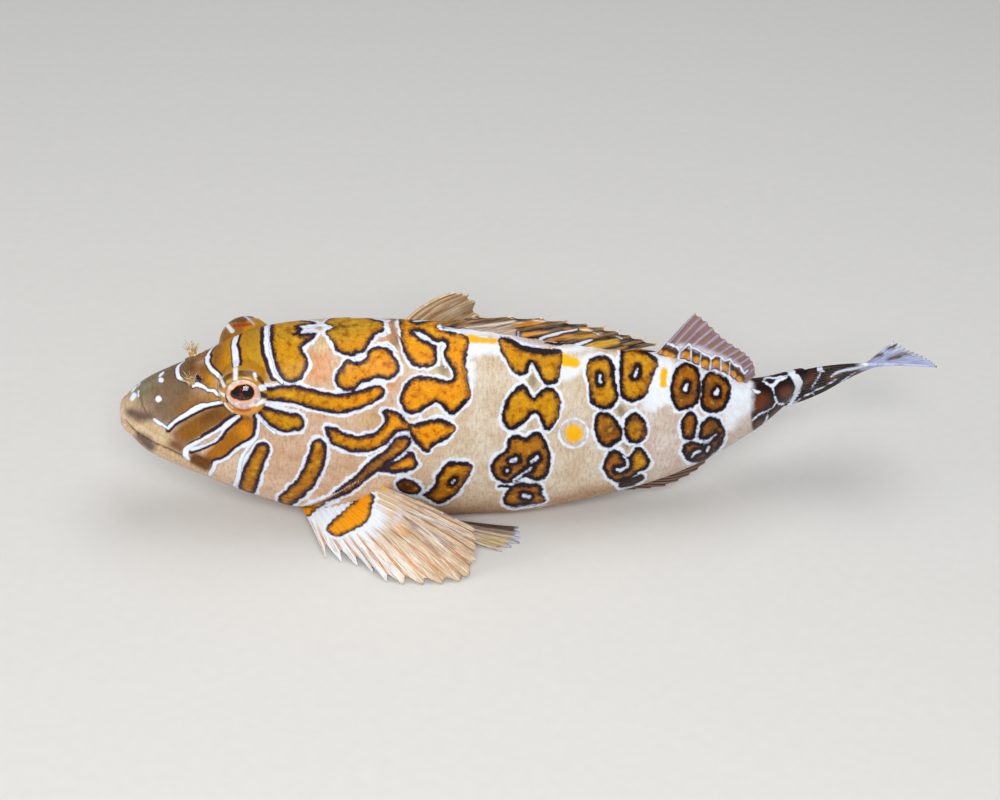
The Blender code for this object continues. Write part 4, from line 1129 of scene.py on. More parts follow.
def fan(keys, shares, t):
    """Points of a fin from (share, root, bend, tip) keys, at shares across and t along."""
    at = [key[0] for key in keys]
    corners = []
    for place in (1, 2, 3):
        values = np.array([key[place] for key in keys], float)
        columns = [through(list(zip(at, values[:, k])), shares) for k in range(3)]
        corners.append(np.stack(columns, axis=-1)[:, None, :])
    root, bend, tip = corners
    t = t[..., None]
    return root * (1 - t) ** 2 + 2 * bend * t * (1 - t) + tip * t**2


def sided(keys, side):
    """Keys of a paired fin on one side: 1 is the left, at negative y."""
    placed = []
    for share, *places in keys:
        placed.append((share, *[(x, -side * y, z) for x, y, z in places]))
    return placed


def paired_fin(keys, side):
    """Points of a fin on one side, as a function of shares across and t along."""
    placed = sided(keys, side)
    return lambda shares, t: fan(placed, shares, t)


def spiny_dorsal(shares, t):
    """Points of the folded spiny fin: spines laid back along the ridge, one behind another."""
    numbers = np.linspace(0, 1, len(SPINE_LENGTHS))
    base = SPINE_BASE[0] + shares * (SPINE_BASE[1] - SPINE_BASE[0])
    length = np.interp(shares, numbers, SPINE_LENGTHS)
    slope = np.arctan2(through(BACK, base + length) - through(BACK, base), length)
    rise = slope + math.radians(SPINE_RISE_DEGREES)
    along = t * length[:, None]
    stations = base[:, None] + along * np.cos(rise)[:, None]
    heights = through(BACK, base)[:, None] + along * np.sin(rise)[:, None]
    return in_body(stations, 0.0, heights)


def midline_fin(outline, base, tips):
    """Points of a fin on the midline, from its base along an outline to tips set off from it."""
    def points(shares, t):
        root = base[0] + shares * (base[1] - base[0])
        tip = through([(key[0], key[1]) for key in tips], shares)
        reach = through([(key[0], key[2]) for key in tips], shares)
        stations = root[:, None] + (tip - root)[:, None] * t
        start, end = through(outline, root), through(outline, tip) + reach
        return in_body(stations, 0.0, start[:, None] + (end - start)[:, None] * t)
    return points


def caudal_fin(shares, t):
    """Points of the tail fin, rooted at the end of the stalk."""
    keys = []
    for share, height, bend, tip in CAUDAL_KEYS:
        keys.append((share, in_body(STANDARD_LENGTH, 0.0, height), bend, tip))
    return fan(keys, shares, t)


# Tufts: (filaments, length, radius of one), with all other sizes as shares of the length
NOSTRIL_TUFT = (18, 8.5, 0.36)
NOSTRIL_TUFT_PLACE = (34.0, 26.0)
NOSTRIL_TUFT_AXIS = (-0.2, 0.35, 1.0)
SPINE_TUFT = (5, 3.2, 0.2)
SPINE_TUFT_SETBACK = 0.8
SPINE_TUFT_SHARES = (0.9, 1.0)
TUFT_ROWS = 7
TUFT_SIDES = 6
TUFT_SINK = 0.25
TUFT_ROW_OFFSET = 0.35
TUFT_ROW_START = 0.3
TUFT_ROW_SPREAD = 0.5
TUFT_EDGE_SHORTER = 0.35
TUFT_EVENNESS = (0.85, 0.15)
TUFT_UNEVEN_STEP = 5
TUFT_SPREAD = 0.25
TUFT_CURL = 0.5
TUFT_TAPER = (1.05, 0.75)


def fin_grid(rays, notch):
    """Shares across, distance along and nearness to a ray, for a fin's columns and rows."""
    columns = (rays - 1) * STEPS_PER_RAY + 1
    shares = np.linspace(0, 1, columns)
    within = (np.arange(columns) % STEPS_PER_RAY) / STEPS_PER_RAY
    ray = np.abs(np.cos(math.pi * within))
    cut = np.interp(shares, np.linspace(0, 1, len(notch)), notch)
    cut = cut * np.sin(math.pi * within) ** NOTCH_SHARPNESS
    even = np.linspace(-ROOT_REACH, 1, FIN_ROWS)
    t = even[None] * (1 - cut[:, None] * np.clip(even, 0, 1)[None] ** 2)
    return shares, t, ray


def sheet_faces(columns, rows):
    """Quads of two like sheets back to back, with closed edges."""
    back = columns * rows
    faces = []
    for c in range(columns - 1):
        for r in range(rows - 1):
            a, b = c * rows + r, (c + 1) * rows + r
            faces.append((a, b, b + 1, a + 1))
            faces.append((back + a, back + a + 1, back + b + 1, back + b))
    rim = [c * rows for c in range(columns)]
    rim += [(columns - 1) * rows + r for r in range(1, rows)]
    rim += [c * rows + rows - 1 for c in range(columns - 2, -1, -1)]
    rim += [r for r in range(rows - 2, 0, -1)]
    for a, b in zip(rim, rim[1:] + rim[:1]):
        faces.append((a, back + a, back + b, b))
    return faces


def fin(name, surface, sizes, paint, material, slot, body):
    """A fin sheet: rays stand out of the membrane, and the root runs into the skin."""
    rays, thickness, notch = sizes
    shares, t, ray = fin_grid(rays, notch)
    lines = surface(shares, t)
    columns, rows, _ = lines.shape
    normal = unit(np.cross(np.gradient(lines, axis=0), np.gradient(lines, axis=1)))
    along = np.clip(t, 0, 1)
    thick = thickness[0] + (thickness[1] - thickness[0]) * along
    thin = thickness[2] + (thickness[3] - thickness[2]) * along
    ridge = (smoothstep(RIDGE_START, 1, ray) ** RIDGE_SHARPNESS)[:, None]
    half = (thin + (thick - thin) * ridge) / 2
    if body:
        lines = clear_of(lines, body, half + FIN_GAP, along)
    fields = paint(to_pixels(lines))
    width = np.linalg.norm(np.diff(lines, axis=0), axis=-1).sum(axis=0).mean()
    length = np.linalg.norm(np.gradient(lines, axis=1), axis=-1).cumsum(axis=1)
    across = np.broadcast_to(shares[:, None] * width, t.shape)
    fields["grain"] = np.stack([across, length, np.zeros_like(across)], axis=-1)
    fields["ray"] = np.broadcast_to(ray[:, None], t.shape)
    sheets = [(lines + side * normal * half[..., None]).reshape(-1, 3) for side in (1, -1)]
    points = np.concatenate(sheets)
    points[:, 2] = np.maximum(points[:, 2], FLOOR)
    doubled = {}
    for key, values in fields.items():
        values = values.reshape(columns * rows, *values.shape[2:])
        doubled[key] = np.concatenate([values, values])
    obj = mesh_object(name + "_sheet", points, sheet_faces(columns, rows), doubled, material, slot)
    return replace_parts(obj, name)


def moved_faces(faces, start):
    """Faces whose corners are counted from another first point."""
    return [tuple(start + corner for corner in face) for face in faces]


def tuft(sizes, root, axis, aside):
    """Points and faces of tapered filaments from one root, in two rows that curl outwards."""
    count, length, radius = sizes
    axis, aside = unit(np.array(axis)), unit(np.array(aside))
    across = np.cross(axis, aside)
    points, faces = [], []
    t = np.linspace(-TUFT_SINK, 1, TUFT_ROWS)[:, None, None]
    turn = np.linspace(0, 2 * math.pi, TUFT_SIDES, endpoint=False)[None, :, None]
    even, uneven = TUFT_EVENNESS
    root_size, taper = TUFT_TAPER
    size = TUFT_ROWS * TUFT_SIDES
    walls = ring_faces(TUFT_ROWS, TUFT_SIDES)
    ends = [range(TUFT_SIDES), reversed(range(size - TUFT_SIDES, size))]
    walls += [tuple(corners) for corners in ends]
    for number in range(count):
        share = 2 * number / (count - 1) - 1
        row = TUFT_ROW_OFFSET if number % 2 else -TUFT_ROW_OFFSET
        wave = even + uneven * math.cos(TUFT_UNEVEN_STEP * number)
        reach = length * (1 - TUFT_EDGE_SHORTER * share ** 2) * wave
        spread = TUFT_SPREAD * share + TUFT_CURL * share * t ** 2
        line = t * reach * axis + spread * reach * aside
        line = line + row * (TUFT_ROW_START + t) * reach * TUFT_ROW_SPREAD * across
        thickness = radius * (root_size - taper * np.clip(t, 0, 1))
        ring = line + thickness * (np.cos(turn) * aside + np.sin(turn) * across)
        points.append((root + ring).reshape(-1, 3))
        faces += moved_faces(walls, number * size)
    return np.concatenate(points), faces


def add_tufts():
    """Skin tufts: one at each front nostril, and a small one at the tip of each dorsal spine."""
    material = cirri_material()
    place, turn = NOSTRIL_TUFT_PLACE
    out, up = section(np.array(place), np.array(math.radians(turn)))
    base = np.array([place, out, up])
    for side_name, side in (("left", 1), ("right", -1)):
        ends = np.array([base, base + NOSTRIL_TUFT_AXIS, base + (1, 0, 0)])
        root, tip, ahead = place_side(ends, side)
        made = tuft(NOSTRIL_TUFT, root, tip - root, ahead - root)
        mesh_object("nostril_cirri_" + side_name, *made, {}, material, "patterned_skin")
    shares = np.linspace(0, 1, len(SPINE_LENGTHS))
    lines = spiny_dorsal(shares, np.broadcast_to(np.array(SPINE_TUFT_SHARES), (len(shares), 2)))
    points, faces = [], []
    for before, tip in lines:
        root = tip - unit(tip - before) * SPINE_TUFT_SETBACK
        made, joined = tuft(SPINE_TUFT, root, tip - before, (0, 0, 1))
        faces += moved_faces(joined, len(points) * len(made))
        points.append(made)
    mesh_object("spine_cirri", np.concatenate(points), faces, {}, material, "dorsal_fin")


def clear_of(lines, body, distance, along):
    """The same points, with any past the root that is too near the skin moved off it."""
    moved = lines.copy()
    wanted = distance * smoothstep(*FIN_RISES, along)
    wanted = wanted - FIN_SINK * smoothstep(*reversed(FIN_SINKS), along)
    for index in np.ndindex(along.shape):
        place, normal, _, _ = body.find_nearest(Vector(rebuilt(lines[index])))
        place, normal = np.array(place) / MM - SHIFT, np.array(normal)
        if (lines[index] - place) @ normal < wanted[index]:
            moved[index] = place + normal * wanted[index]
    return moved


# Marks and tones of the fins, in the photo's pixels like those of the skin
CALM_EDGE = 8


def painted(membrane, ray, membrane_layers=(), ray_layers=(), calm=(), **strokes):
    """Fields of a fin from its first tones, soft layers over them, and its marks."""
    def paint(pixels):
        fields = marks(pixels, **strokes)
        fields["ground"] = laid(pixels, membrane, membrane_layers)
        fields["fill"] = laid(pixels, ray, ray_layers)
        fields["streaky"] = np.ones(pixels.shape[:-1])
        if calm:
            fields["streaky"] = smoothstep(-CALM_EDGE, CALM_EDGE, strokes_distance(pixels, calm))
        return fields
    return paint


SPINY_MEMBRANE = [
    ("umber", 1, [(440, 322, 0.8), (455, 317, 1), (475, 320, 0.8)]),
    ("hazel", 1.5, [(460, 325, 3), (490, 319, 2.5), (500, 318, 1.5)]),
    ("umber", 1, [(470, 323, 0.8), (490, 320, 0.9), (508, 317, 0.7)]),
    ("ivory", 1.2, [(466, 327, 1.2), (495, 324, 1.4), (514, 321, 1.2)]),
    ("pink", 2, [(466, 332, 3), (490, 331, 4), (514, 332, 4)]),
    ("ivory", 1, [(498, 328, 0.9), (512, 325, 1.1), (521, 322, 0.8)]),
    ("orange", 1.2, [(513, 325, 1.8), (537, 322, 2.4), (548, 320, 1)]),
    ("umber", 0.8, [(522, 321, 0.5), (538, 317, 0.7)]),
    ("ivory", 0.8, [(534, 320, 0.9), (544, 321, 0.9)]),
    ("black", 1, [(518, 331, 1.2), (545, 328, 1.6), (565, 325, 1)]),
    ("orange", 1.2, [(523, 334, 1.8), (547, 332, 1.6)]),
    ("black", 1, [(520, 338, 1.4), (542, 335, 1.5), (552, 333, 1.2), (572, 331, 1)]),
    ("orange", 1.4, [(550, 338, 2.8), (570, 336, 3)]),
    ("black", 1, [(546, 343, 1.6), (572, 341, 1.5), (584, 337, 1)]),
    ("black", 1, [(510, 340, 1.6), (523, 347, 2), (540, 350, 2.2), (565, 351, 1.8)]),
    ("orange", 1.2, [(566, 329, 1.6), (588, 328, 1.4)]),
    ("black", 0.8, [(572, 326, 0.9), (592, 325, 0.9)]),
    ("ivory", 0.8, [(580, 329, 0.8), (591, 330, 0.9)]),
    ("gold", 1.5, [(574, 337, 1.8), (600, 334, 2)]),
    ("black", 1, [(586, 340, 1.2), (604, 338, 1.2), (618, 336, 0.8)]),
    ("pink", 2, [(564, 353, 4), (580, 349, 4.5), (592, 351, 3)]),
    ("yellow", 1.5, [(588, 346, 2.6), (602, 343.5, 3.2), (617, 341, 2.4)]),
    ("black", 0.8, [(594, 350, 0.9), (622, 344, 1)]),
    ("black", 1, [(603, 353, 1.2), (624, 348, 1.4), (640, 345, 1)]),
    ("black", 1, [(617, 356, 1.4), (634, 351, 1.6), (650, 349, 1)]),
    ("gold", 1, [(610, 351, 1), (626, 346, 0.9)]),
]
SPINY_LINES = [
    (0.6, 1.6, [(430, 319, 0.8), (437, 325, 1.3), (446, 328, 1.5), (455, 329.5, 1.4),
                (464, 328, 0.9)]),
    (0.4, 1.4, [(518, 331, 1), (518, 338, 1.2), (523, 343, 1.3), (537, 346, 1.2), (544, 344, 0.9)]),
    (1.0, 1.4, [(544, 344, 1.1), (540, 338.5, 1.3), (545, 336, 1.3), (563, 331.5, 1.3),
                (577, 329, 0.9)]),
    (1.0, 1.2, [(562, 347, 1.2), (577, 344, 1.5), (592, 339, 1.1)]),
    (0.3, 0.4, [(593, 332, 0.6), (599, 334, 0.9)]),
    (0.3, 0.4, [(616, 336, 0.6), (622, 338, 0.9)]),
    (0.3, 0.4, [(436, 320, 0.6), (447, 315, 0.8), (456, 316, 0.8)]),
]
SOFT_MEMBRANE = [
    ("pearl", 3, [(679, 346, 3), (697, 348, 3), (716, 355, 3), (735, 364, 3)]),
    ("umber", 2, [(650, 345, 3), (662, 347, 3.5), (676, 352, 3)]),
    ("umber", 1.5, [(686, 350, 3), (697, 355, 3), (706, 360, 3), (718, 359, 2.5)]),
    ("umber", 1.5, [(727, 363, 2.5), (736, 370, 2.5), (742, 377, 3)]),
    ("orange", 1.5, [(655, 349, 2), (660, 351, 2)]),
    ("orange", 1.5, [(666, 353, 2.6), (672, 356, 2.6)]),
    ("orange", 1.5, [(686, 355, 4)]),
    ("orange", 1.5, [(696.5, 359, 3)]),
    ("orange", 1.5, [(705, 363, 3.4)]),
    ("orange", 1.5, [(716, 363, 3.4)]),
    ("orange", 1.5, [(725, 367, 3.2)]),
    ("orange", 1.5, [(733, 373, 2.6)]),
    ("orange", 1.5, [(739, 379, 3)]),
]
SOFT_LINES = [
    (0, 0.8, [(655, 340, 0.9), (661, 341.5, 1.1), (668, 343, 1.2), (677, 346.5, 1.5), (680, 351, 1),
              (684, 348, 1.1), (689, 343.5, 1.1), (693, 347.5, 1.2), (699, 349.5, 1.2),
              (703, 353, 1.1), (708, 354.5, 1.3), (711, 358, 1), (716, 354.5, 1.1), (722, 357, 1.2),
              (725, 360.5, 1), (730, 358.5, 1), (734, 364, 1.1), (740, 366, 1.2), (744, 373, 1.1),
              (748, 370, 0.9)]),
    (0, 0, [(680, 351, 1.2), (678, 358, 1.3)]),
    (0, 0, [(691, 347, 0.8), (691, 361, 0.8)]),
    (0, 0, [(701, 353, 0.6), (700, 366, 0.8)]),
    (0, 0, [(711, 358, 0.9), (710, 369, 0.8)]),
    (0, 0, [(721, 358, 0.6), (721, 370, 0.8)]),
    (0, 0, [(730, 362, 0.6), (729, 374, 0.8)]),
    (1, 0, [(638, 349, 1.2), (652, 352, 1.4), (664, 358, 1.6), (674, 361.5, 1.8), (680, 359, 1.4),
            (690, 362, 1.4), (700, 367.5, 1.3), (706, 371, 1.3), (714, 369.5, 1.3), (726, 374, 1.5),
            (738, 384, 1.6), (747, 391, 1.6)]),
]
PECTORAL_OUTLINES = [
    [(362, 490), (366, 490), (372, 493), (377, 496.5), (374.5, 502), (372.5, 508), (371.5, 514),
     (369, 520), (365, 525), (359, 528), (353, 531.5), (347, 533.5), (341, 537), (334, 536.5),
     (328.5, 533), (326, 529.5), (329, 525), (335, 519), (342, 514), (347, 509), (353, 504),
     (357, 499), (359.5, 494)],
    [(301, 511), (302, 506.5), (310, 504.5), (322, 500), (334, 496), (334, 499), (322, 506),
     (316, 511), (311, 517), (305, 518)],
]
PECTORAL_BORDER = 1.1
SOFT_BORDER = 1.5
PECTORAL_SPOTS = [
    [(373, 484, 1), (380, 486, 2.2), (388, 489, 1)],
]
PECTORAL_STREAKS = [
    ("pearl", 5, [(396, 522, 3), (401, 513, 3)]),
    ("orange", 4, [(399, 527, 2.5), (406, 533, 2)]),
    ("plum", 1.5, [(412, 513, 0.5), (430, 518, 0.9), (447, 526, 0.9), (468, 533, 0.5)]),
    ("plum", 1.5, [(424, 529, 0.5), (440, 537, 1), (455, 546, 0.7)]),
    ("plum", 1.5, [(404, 516, 0.4), (414, 527, 0.9), (428, 542, 0.7), (440, 556, 0.4)]),
    ("plum", 1.5, [(420, 506, 0.4), (445, 514, 0.7), (470, 524, 0.4)]),
    ("white", 1.2, [(406, 509, 0.6), (436, 520, 0.8), (470, 536, 0.5)]),
    ("white", 1.2, [(408, 516, 0.6), (430, 533, 0.8), (448, 552, 0.5)]),
]
PECTORAL_RAYS = [
    ("ivory", 16, [(320, 515, 30), (340, 560, 40), (390, 575, 24)]),
    ("white", 8, [(318, 512, 14), (345, 506, 20), (372, 520, 16), (350, 545, 16)]),
    ("white", 8, [(326, 535, 10), (350, 556, 12), (388, 574, 7)]),
] + PECTORAL_STREAKS
PECTORAL_MEMBRANE = [
    ("apricot", 12, [(330, 540, 14), (380, 560, 18), (430, 570, 18), (455, 560, 8)]),
    ("ivory", 9, [(315, 512, 18), (345, 512, 26), (376, 510, 22), (396, 504, 8)]),
    ("white", 8, [(318, 512, 14), (345, 506, 20), (372, 516, 14)]),
] + PECTORAL_STREAKS
PECTORAL_CALM = [
    [(310, 500, 20), (350, 510, 30), (380, 500, 18)],
]
# Tones of the pelvic fins; the first, umber, is the painted shadow of the body over the fin's upper
# part
PELVIC_TONES_AND_SHADOW = [
    ("umber", 5, [(450, 515, 8), (490, 522, 9), (530, 527, 8)]),
    ("straw", 4, [(486, 541, 6), (515, 545, 6)]),
    ("ice", 3, [(519, 528, 2.5), (517, 538, 3.5), (508, 548, 3), (500, 553, 2)]),
]
CAUDAL_LAYERS = [
    ("bark", 4, [(768, 395, 24), (790, 400, 24), (820, 378, 20), (848, 368, 8), (858, 366, 4)]),
    ("rust", 5, [(806, 380, 3), (812, 376, 3)]),
    ("rust", 4, [(830, 378, 2.5), (836, 374, 2)]),
    ("ice", 4, [(864, 358, 5), (882, 350, 9), (905, 342, 9), (925, 352, 6)]),
    ("ice", 3, [(862, 367, 2.5), (885, 364, 6), (915, 362, 7), (940, 369, 8)]),
    ("white", 3, [(858, 362, 1.5), (878, 348, 1.5), (896, 341, 2)]),
    ("umber", 1.5, [(871, 357, 1.6), (882, 355, 1.8)]),
    ("umber", 1.5, [(888, 360, 1.2), (900, 357, 1.6)]),
    ("umber", 2, [(888, 349, 1.4), (896, 346, 2)]),
]
CAUDAL_LINES = [
    TAIL_FOOT_LINE,
    (0, 0, [(822, 368, 0.9), (819, 374, 0.9), (816, 379, 0.8), (811, 387, 0.7)]),
    (0, 0, [(818, 369, 0.7), (824, 370, 0.9)]),
    (0, 0, [(831, 375, 0.9), (837, 371, 1.5), (846, 368.5, 1.4), (858, 366.5, 1.2), (868, 364, 1)]),
    (0, 0, [(786, 408, 0.6), (800, 397, 0.5), (814, 390, 0.6), (826, 384, 0.5), (836, 378, 0.5)]),
    (0, 0, [(792, 414, 0.6), (810, 401, 0.5), (826, 392, 0.6), (842, 380, 0.5), (856, 370, 0.4)]),
    (0, 0, [(812, 392, 0.5), (817, 398, 0.4), (824, 392, 0.4)]),
]


# Tones of the materials, 0 to 255. A shade is multiplied over what is under it
MOTTLE_SHADE = (214, 178, 140)
SPECKLE_SHADE = (206, 170, 140)
CLOUD_SHADE = (228, 206, 182)
FILL_SPECKLE_SHADE = (190, 140, 60)
FILL_BLOT_SHADE = (196, 140, 60)
FILL_GLOW = (252, 196, 40)
# Painted shade in the gaps between scales
SCALE_GAP_SHADE = (150, 116, 92)
FIN_FILL = (240, 156, 4)
FIN_GLINT = (250, 244, 236)
FIN_SHADE = (206, 184, 170)
CIRRI_DARK = (196, 150, 84)
CIRRI_PALE = (246, 234, 204)
LID_SHADE = (120, 78, 40)
IRIS_PALE = (240, 214, 206)
IRIS_DARK = (168, 126, 122)
IRIS_SILVER = (236, 232, 240)
IRIS_RIM = (110, 70, 40)
PUPIL_HALO = (246, 178, 130)
PUPIL_RING = (250, 150, 74)
PUPIL_BLACK = (14, 6, 10)
PUPIL_GLOW = (120, 26, 14)
FLOOR_LIGHT = (226, 224, 220)
FLOOR_DARK = (220, 218, 214)
SKY_COLOUR = (0.9, 0.95, 1.0, 1)
SKY_STRENGTH = 0.25
COAT_ROUGHNESS = 0.15
SPECULAR_LEVEL = 0.16
# Scales' look: length and height in millimetres, and how far they are out of line
LOOK_SCALES = (4.2, 3.8)
LOOK_RANDOMNESS = 0.7
RAY_JOINTS = 0.42
FIN_ROUGHNESS = 0.42
FIN_COAT = 0.1


class Painter:
    """Adds shader nodes to one material by short calls; a value may be a number or a socket."""

    def __init__(self, name):
        self.material = bpy.data.materials.new(name)
        self.material.use_nodes = True
        self.tree = self.material.node_tree
        self.shader = self.tree.nodes["Principled BSDF"]

    def put(self, socket, value):
        """Links a socket, or sets a number or a colour, on a node's input."""
        if isinstance(value, bpy.types.NodeSocket):
            self.tree.links.new(value, socket)
        elif hasattr(value, "__len__") and len(value) == 3 and socket.type == "RGBA":
            socket.default_value = (*value, 1)
        else:
            socket.default_value = value

    def attribute(self, name, output="Fac"):
        """A field of the mesh."""
        made = self.tree.nodes.new("ShaderNodeAttribute")
        made.attribute_name = name
        return made.outputs[output]

    def place(self):
        """The object's own coordinates, in metres."""
        return self.tree.nodes.new("ShaderNodeTexCoord").outputs["Object"]

    def noise(self, size, detail=2.0, where=None, stretch=None):
        """Noise from 0 to 1 whose lumps are about size millimetres."""
        made = self.tree.nodes.new("ShaderNodeTexNoise")
        scale = 1 / size if where else 1 / (size * MM)
        where = where or self.place()
        if stretch:
            where = self.scaled(where, stretch)
        self.put(made.inputs["Vector"], where)
        made.inputs["Scale"].default_value = scale
        made.inputs["Detail"].default_value = detail
        return made.outputs["Fac"]

    def scaled(self, vector, factors):
        made = self.tree.nodes.new("ShaderNodeVectorMath")
        made.operation = "MULTIPLY"
        self.put(made.inputs[0], vector)
        made.inputs[1].default_value = factors
        return made.outputs[0]

    def maths(self, operation, a, b=0.0):
        made = self.tree.nodes.new("ShaderNodeMath")
        made.operation = operation
        self.put(made.inputs[0], a)
        self.put(made.inputs[1], b)
        return made.outputs[0]

    def around(self, value, reach):
        """A noise of 0 to 1 made to vary by reach either way about nothing."""
        return self.maths("MULTIPLY", self.maths("SUBTRACT", value, 0.5), 2 * reach)

    def step(self, value, start, end, low=0.0, high=1.0):
        """Smooth change from low at start to high at end."""
        made = self.tree.nodes.new("ShaderNodeMapRange")
        made.interpolation_type = "SMOOTHSTEP"
        self.put(made.inputs["Value"], value)
        limits = {"From Min": start, "From Max": end, "To Min": low, "To Max": high}
        for name, amount in limits.items():
            self.put(made.inputs[name], amount)
        return made.outputs["Result"]

    def mix(self, share, a, b, blend="MIX"):
        made = self.tree.nodes.new("ShaderNodeMix")
        made.data_type = "RGBA"
        made.blend_type = blend
        self.put(made.inputs["Factor"], share)
        self.put(made.inputs[6], a)
        self.put(made.inputs[7], b)
        return made.outputs[2]

    def over(self, colour, tone, *steps, blend="MIX"):
        """A tone laid over a colour by a smooth change; the tone may be a socket."""
        if not isinstance(tone, bpy.types.NodeSocket):
            tone = linear(tone)
        return self.mix(self.step(*steps), colour, tone, blend)

    def shade(self, colour, tone, *steps):
        """A tone multiplied over a colour by a smooth change."""
        return self.over(colour, tone, *steps, blend="MULTIPLY")

    def bump(self, height, distance):
        """Fine relief in the shading, of a depth in millimetres."""
        made = self.tree.nodes.new("ShaderNodeBump")
        made.inputs["Distance"].default_value = distance * MM
        self.put(made.inputs["Height"], height)
        self.tree.links.new(made.outputs["Normal"], self.shader.inputs["Normal"])

    def finish(self, colour, roughness, coat=0.0):
        self.put(self.shader.inputs["Base Color"], colour)
        self.put(self.shader.inputs["Roughness"], roughness)
        self.shader.inputs["Coat Weight"].default_value = coat
        self.shader.inputs["Coat Roughness"].default_value = COAT_ROUGHNESS
        self.shader.inputs["Specular IOR Level"].default_value = SPECULAR_LEVEL
        return self.material


def add_marks(paint, colour, inner, rough):
    """Lays white outlines, dark borders, fills, bright spots and lines over a ground colour."""
    ragged = paint.around(paint.noise(1.7, 3.0), 1.7)
    wavy = paint.around(paint.noise(5.0, 1.0), 1.9)
    edge = paint.maths("MULTIPLY", paint.maths("ADD", ragged, wavy), rough)
    away = {}
    for name in ("blotch", "line", "dark", "white", "patch", "yellow"):
        away[name] = paint.maths("ADD", paint.attribute(name), edge)
    border = paint.attribute("border")
    dark = paint.over(linear(PURPLE), DARK, border, HEAD_BORDER, BODY_BORDER)
    dark = paint.over(dark, DARK_SPECKS, paint.noise(1.4, 2.0), 0.5, 0.8, 0.0, 0.6)
    white = paint.over(linear(WHITE), BLUISH, away["blotch"], 0.2, 1.6, 0.6, 0.05)
    colour = paint.over(colour, WHITE, away["patch"], 6.0, -3.0)
    reach = paint.step(paint.noise(6.0, 2.0), 0.35, 0.65, OUTLINE - 0.9, OUTLINE + 0.9)
    beyond = paint.maths("SUBTRACT", away["blotch"], reach)
    colour = paint.over(colour, white, beyond, 1.0, -0.8)
    colour = paint.over(colour, YELLOW, away["yellow"], 1.8, -1.6)
    colour = paint.over(colour, dark, away["blotch"], 0.7, -0.7)
    inside = paint.maths("ADD", away["blotch"], border)
    inside = paint.maths("ADD", inside, paint.around(paint.noise(1.3, 2.0), 2.0))
    inside = paint.maths("ADD", inside, paint.around(paint.noise(4.0, 1.0), 2.0))
    inner = paint.over(inner, STAIN, inside, -3.8, -0.2, 0.0, 0.75)
    colour = paint.over(colour, inner, inside, 1.0, -1.4)
    colour = paint.over(colour, dark, away["dark"], 0.9, -0.8)
    lines = paint.maths("MINIMUM", away["line"], away["white"])
    edge_blue = paint.over(linear(WHITE), BLUISH, lines, -1.2, 0.3, 0.0, 0.6)
    return paint.over(colour, edge_blue, lines, 0.7, -0.6)


def skin_material():
    """Ground and blotch fills with fine noise, the marks over them, and shallow scales with painted
    shade between them.
    """
    paint = Painter("patterned_skin")
    grain = paint.attribute("grain", "Vector")
    scaly = paint.attribute("scaly")
    mottle = paint.noise(1.0, 3.0, grain, (0.8, 0.28, 1))
    speckle = paint.noise(0.9, 3.0, grain)
    clouds = paint.noise(12.0, 3.0)
    ground = paint.attribute("ground", "Color")
    ground = paint.shade(ground, MOTTLE_SHADE, mottle, 0.4, 0.75, 0.0, 0.5)
    ground = paint.shade(ground, SPECKLE_SHADE, speckle, 0.5, 0.75, 0.0, 0.4)
    ground = paint.shade(ground, CLOUD_SHADE, clouds, 0.35, 0.65, 0.5, 0.0)
    fill = paint.attribute("fill", "Color")
    blots = paint.noise(3.0, 3.0)
    fill = paint.shade(fill, FILL_SPECKLE_SHADE, speckle, 0.45, 0.75, 0.0, 0.45)
    fill = paint.shade(fill, FILL_BLOT_SHADE, blots, 0.5, 0.72, 0.0, 0.8)
    fill = paint.over(fill, FILL_GLOW, blots, 0.45, 0.3, 0.0, 0.35)
    rough = paint.step(scaly, 0.0, 1.0, 0.45, 1.0)
    colour = add_marks(paint, ground, fill, rough)
    scales = scale_height(paint, grain)
    # Painted shade in the gaps between scales, where their relief falls away
    scale_gap_shade = paint.maths("MULTIPLY", paint.step(scales, 0.3, 0.0, 0.0, 0.08), scaly)
    colour = paint.mix(scale_gap_shade, colour, linear(SCALE_GAP_SHADE), "MULTIPLY")
    grit = paint.noise(0.6, 2.0)
    height = paint.maths("ADD", paint.maths("MULTIPLY", scales, scaly), grit)
    paint.bump(height, 0.08)
    return paint.finish(colour, paint.step(mottle, 0.3, 0.7, 0.42, 0.56), 0.04)


def scale_height(paint, grain):
    """Overlapping scales as cells in the skin's own millimetres."""
    made = paint.tree.nodes.new("ShaderNodeTexVoronoi")
    made.distance = "EUCLIDEAN"
    made.inputs["Scale"].default_value = 1.0
    made.inputs["Randomness"].default_value = LOOK_RANDOMNESS
    length, height = LOOK_SCALES
    paint.put(made.inputs["Vector"], paint.scaled(grain, (1 / length, 1 / height, 1)))
    return paint.step(made.outputs["Distance"], 0.62, 0.1)


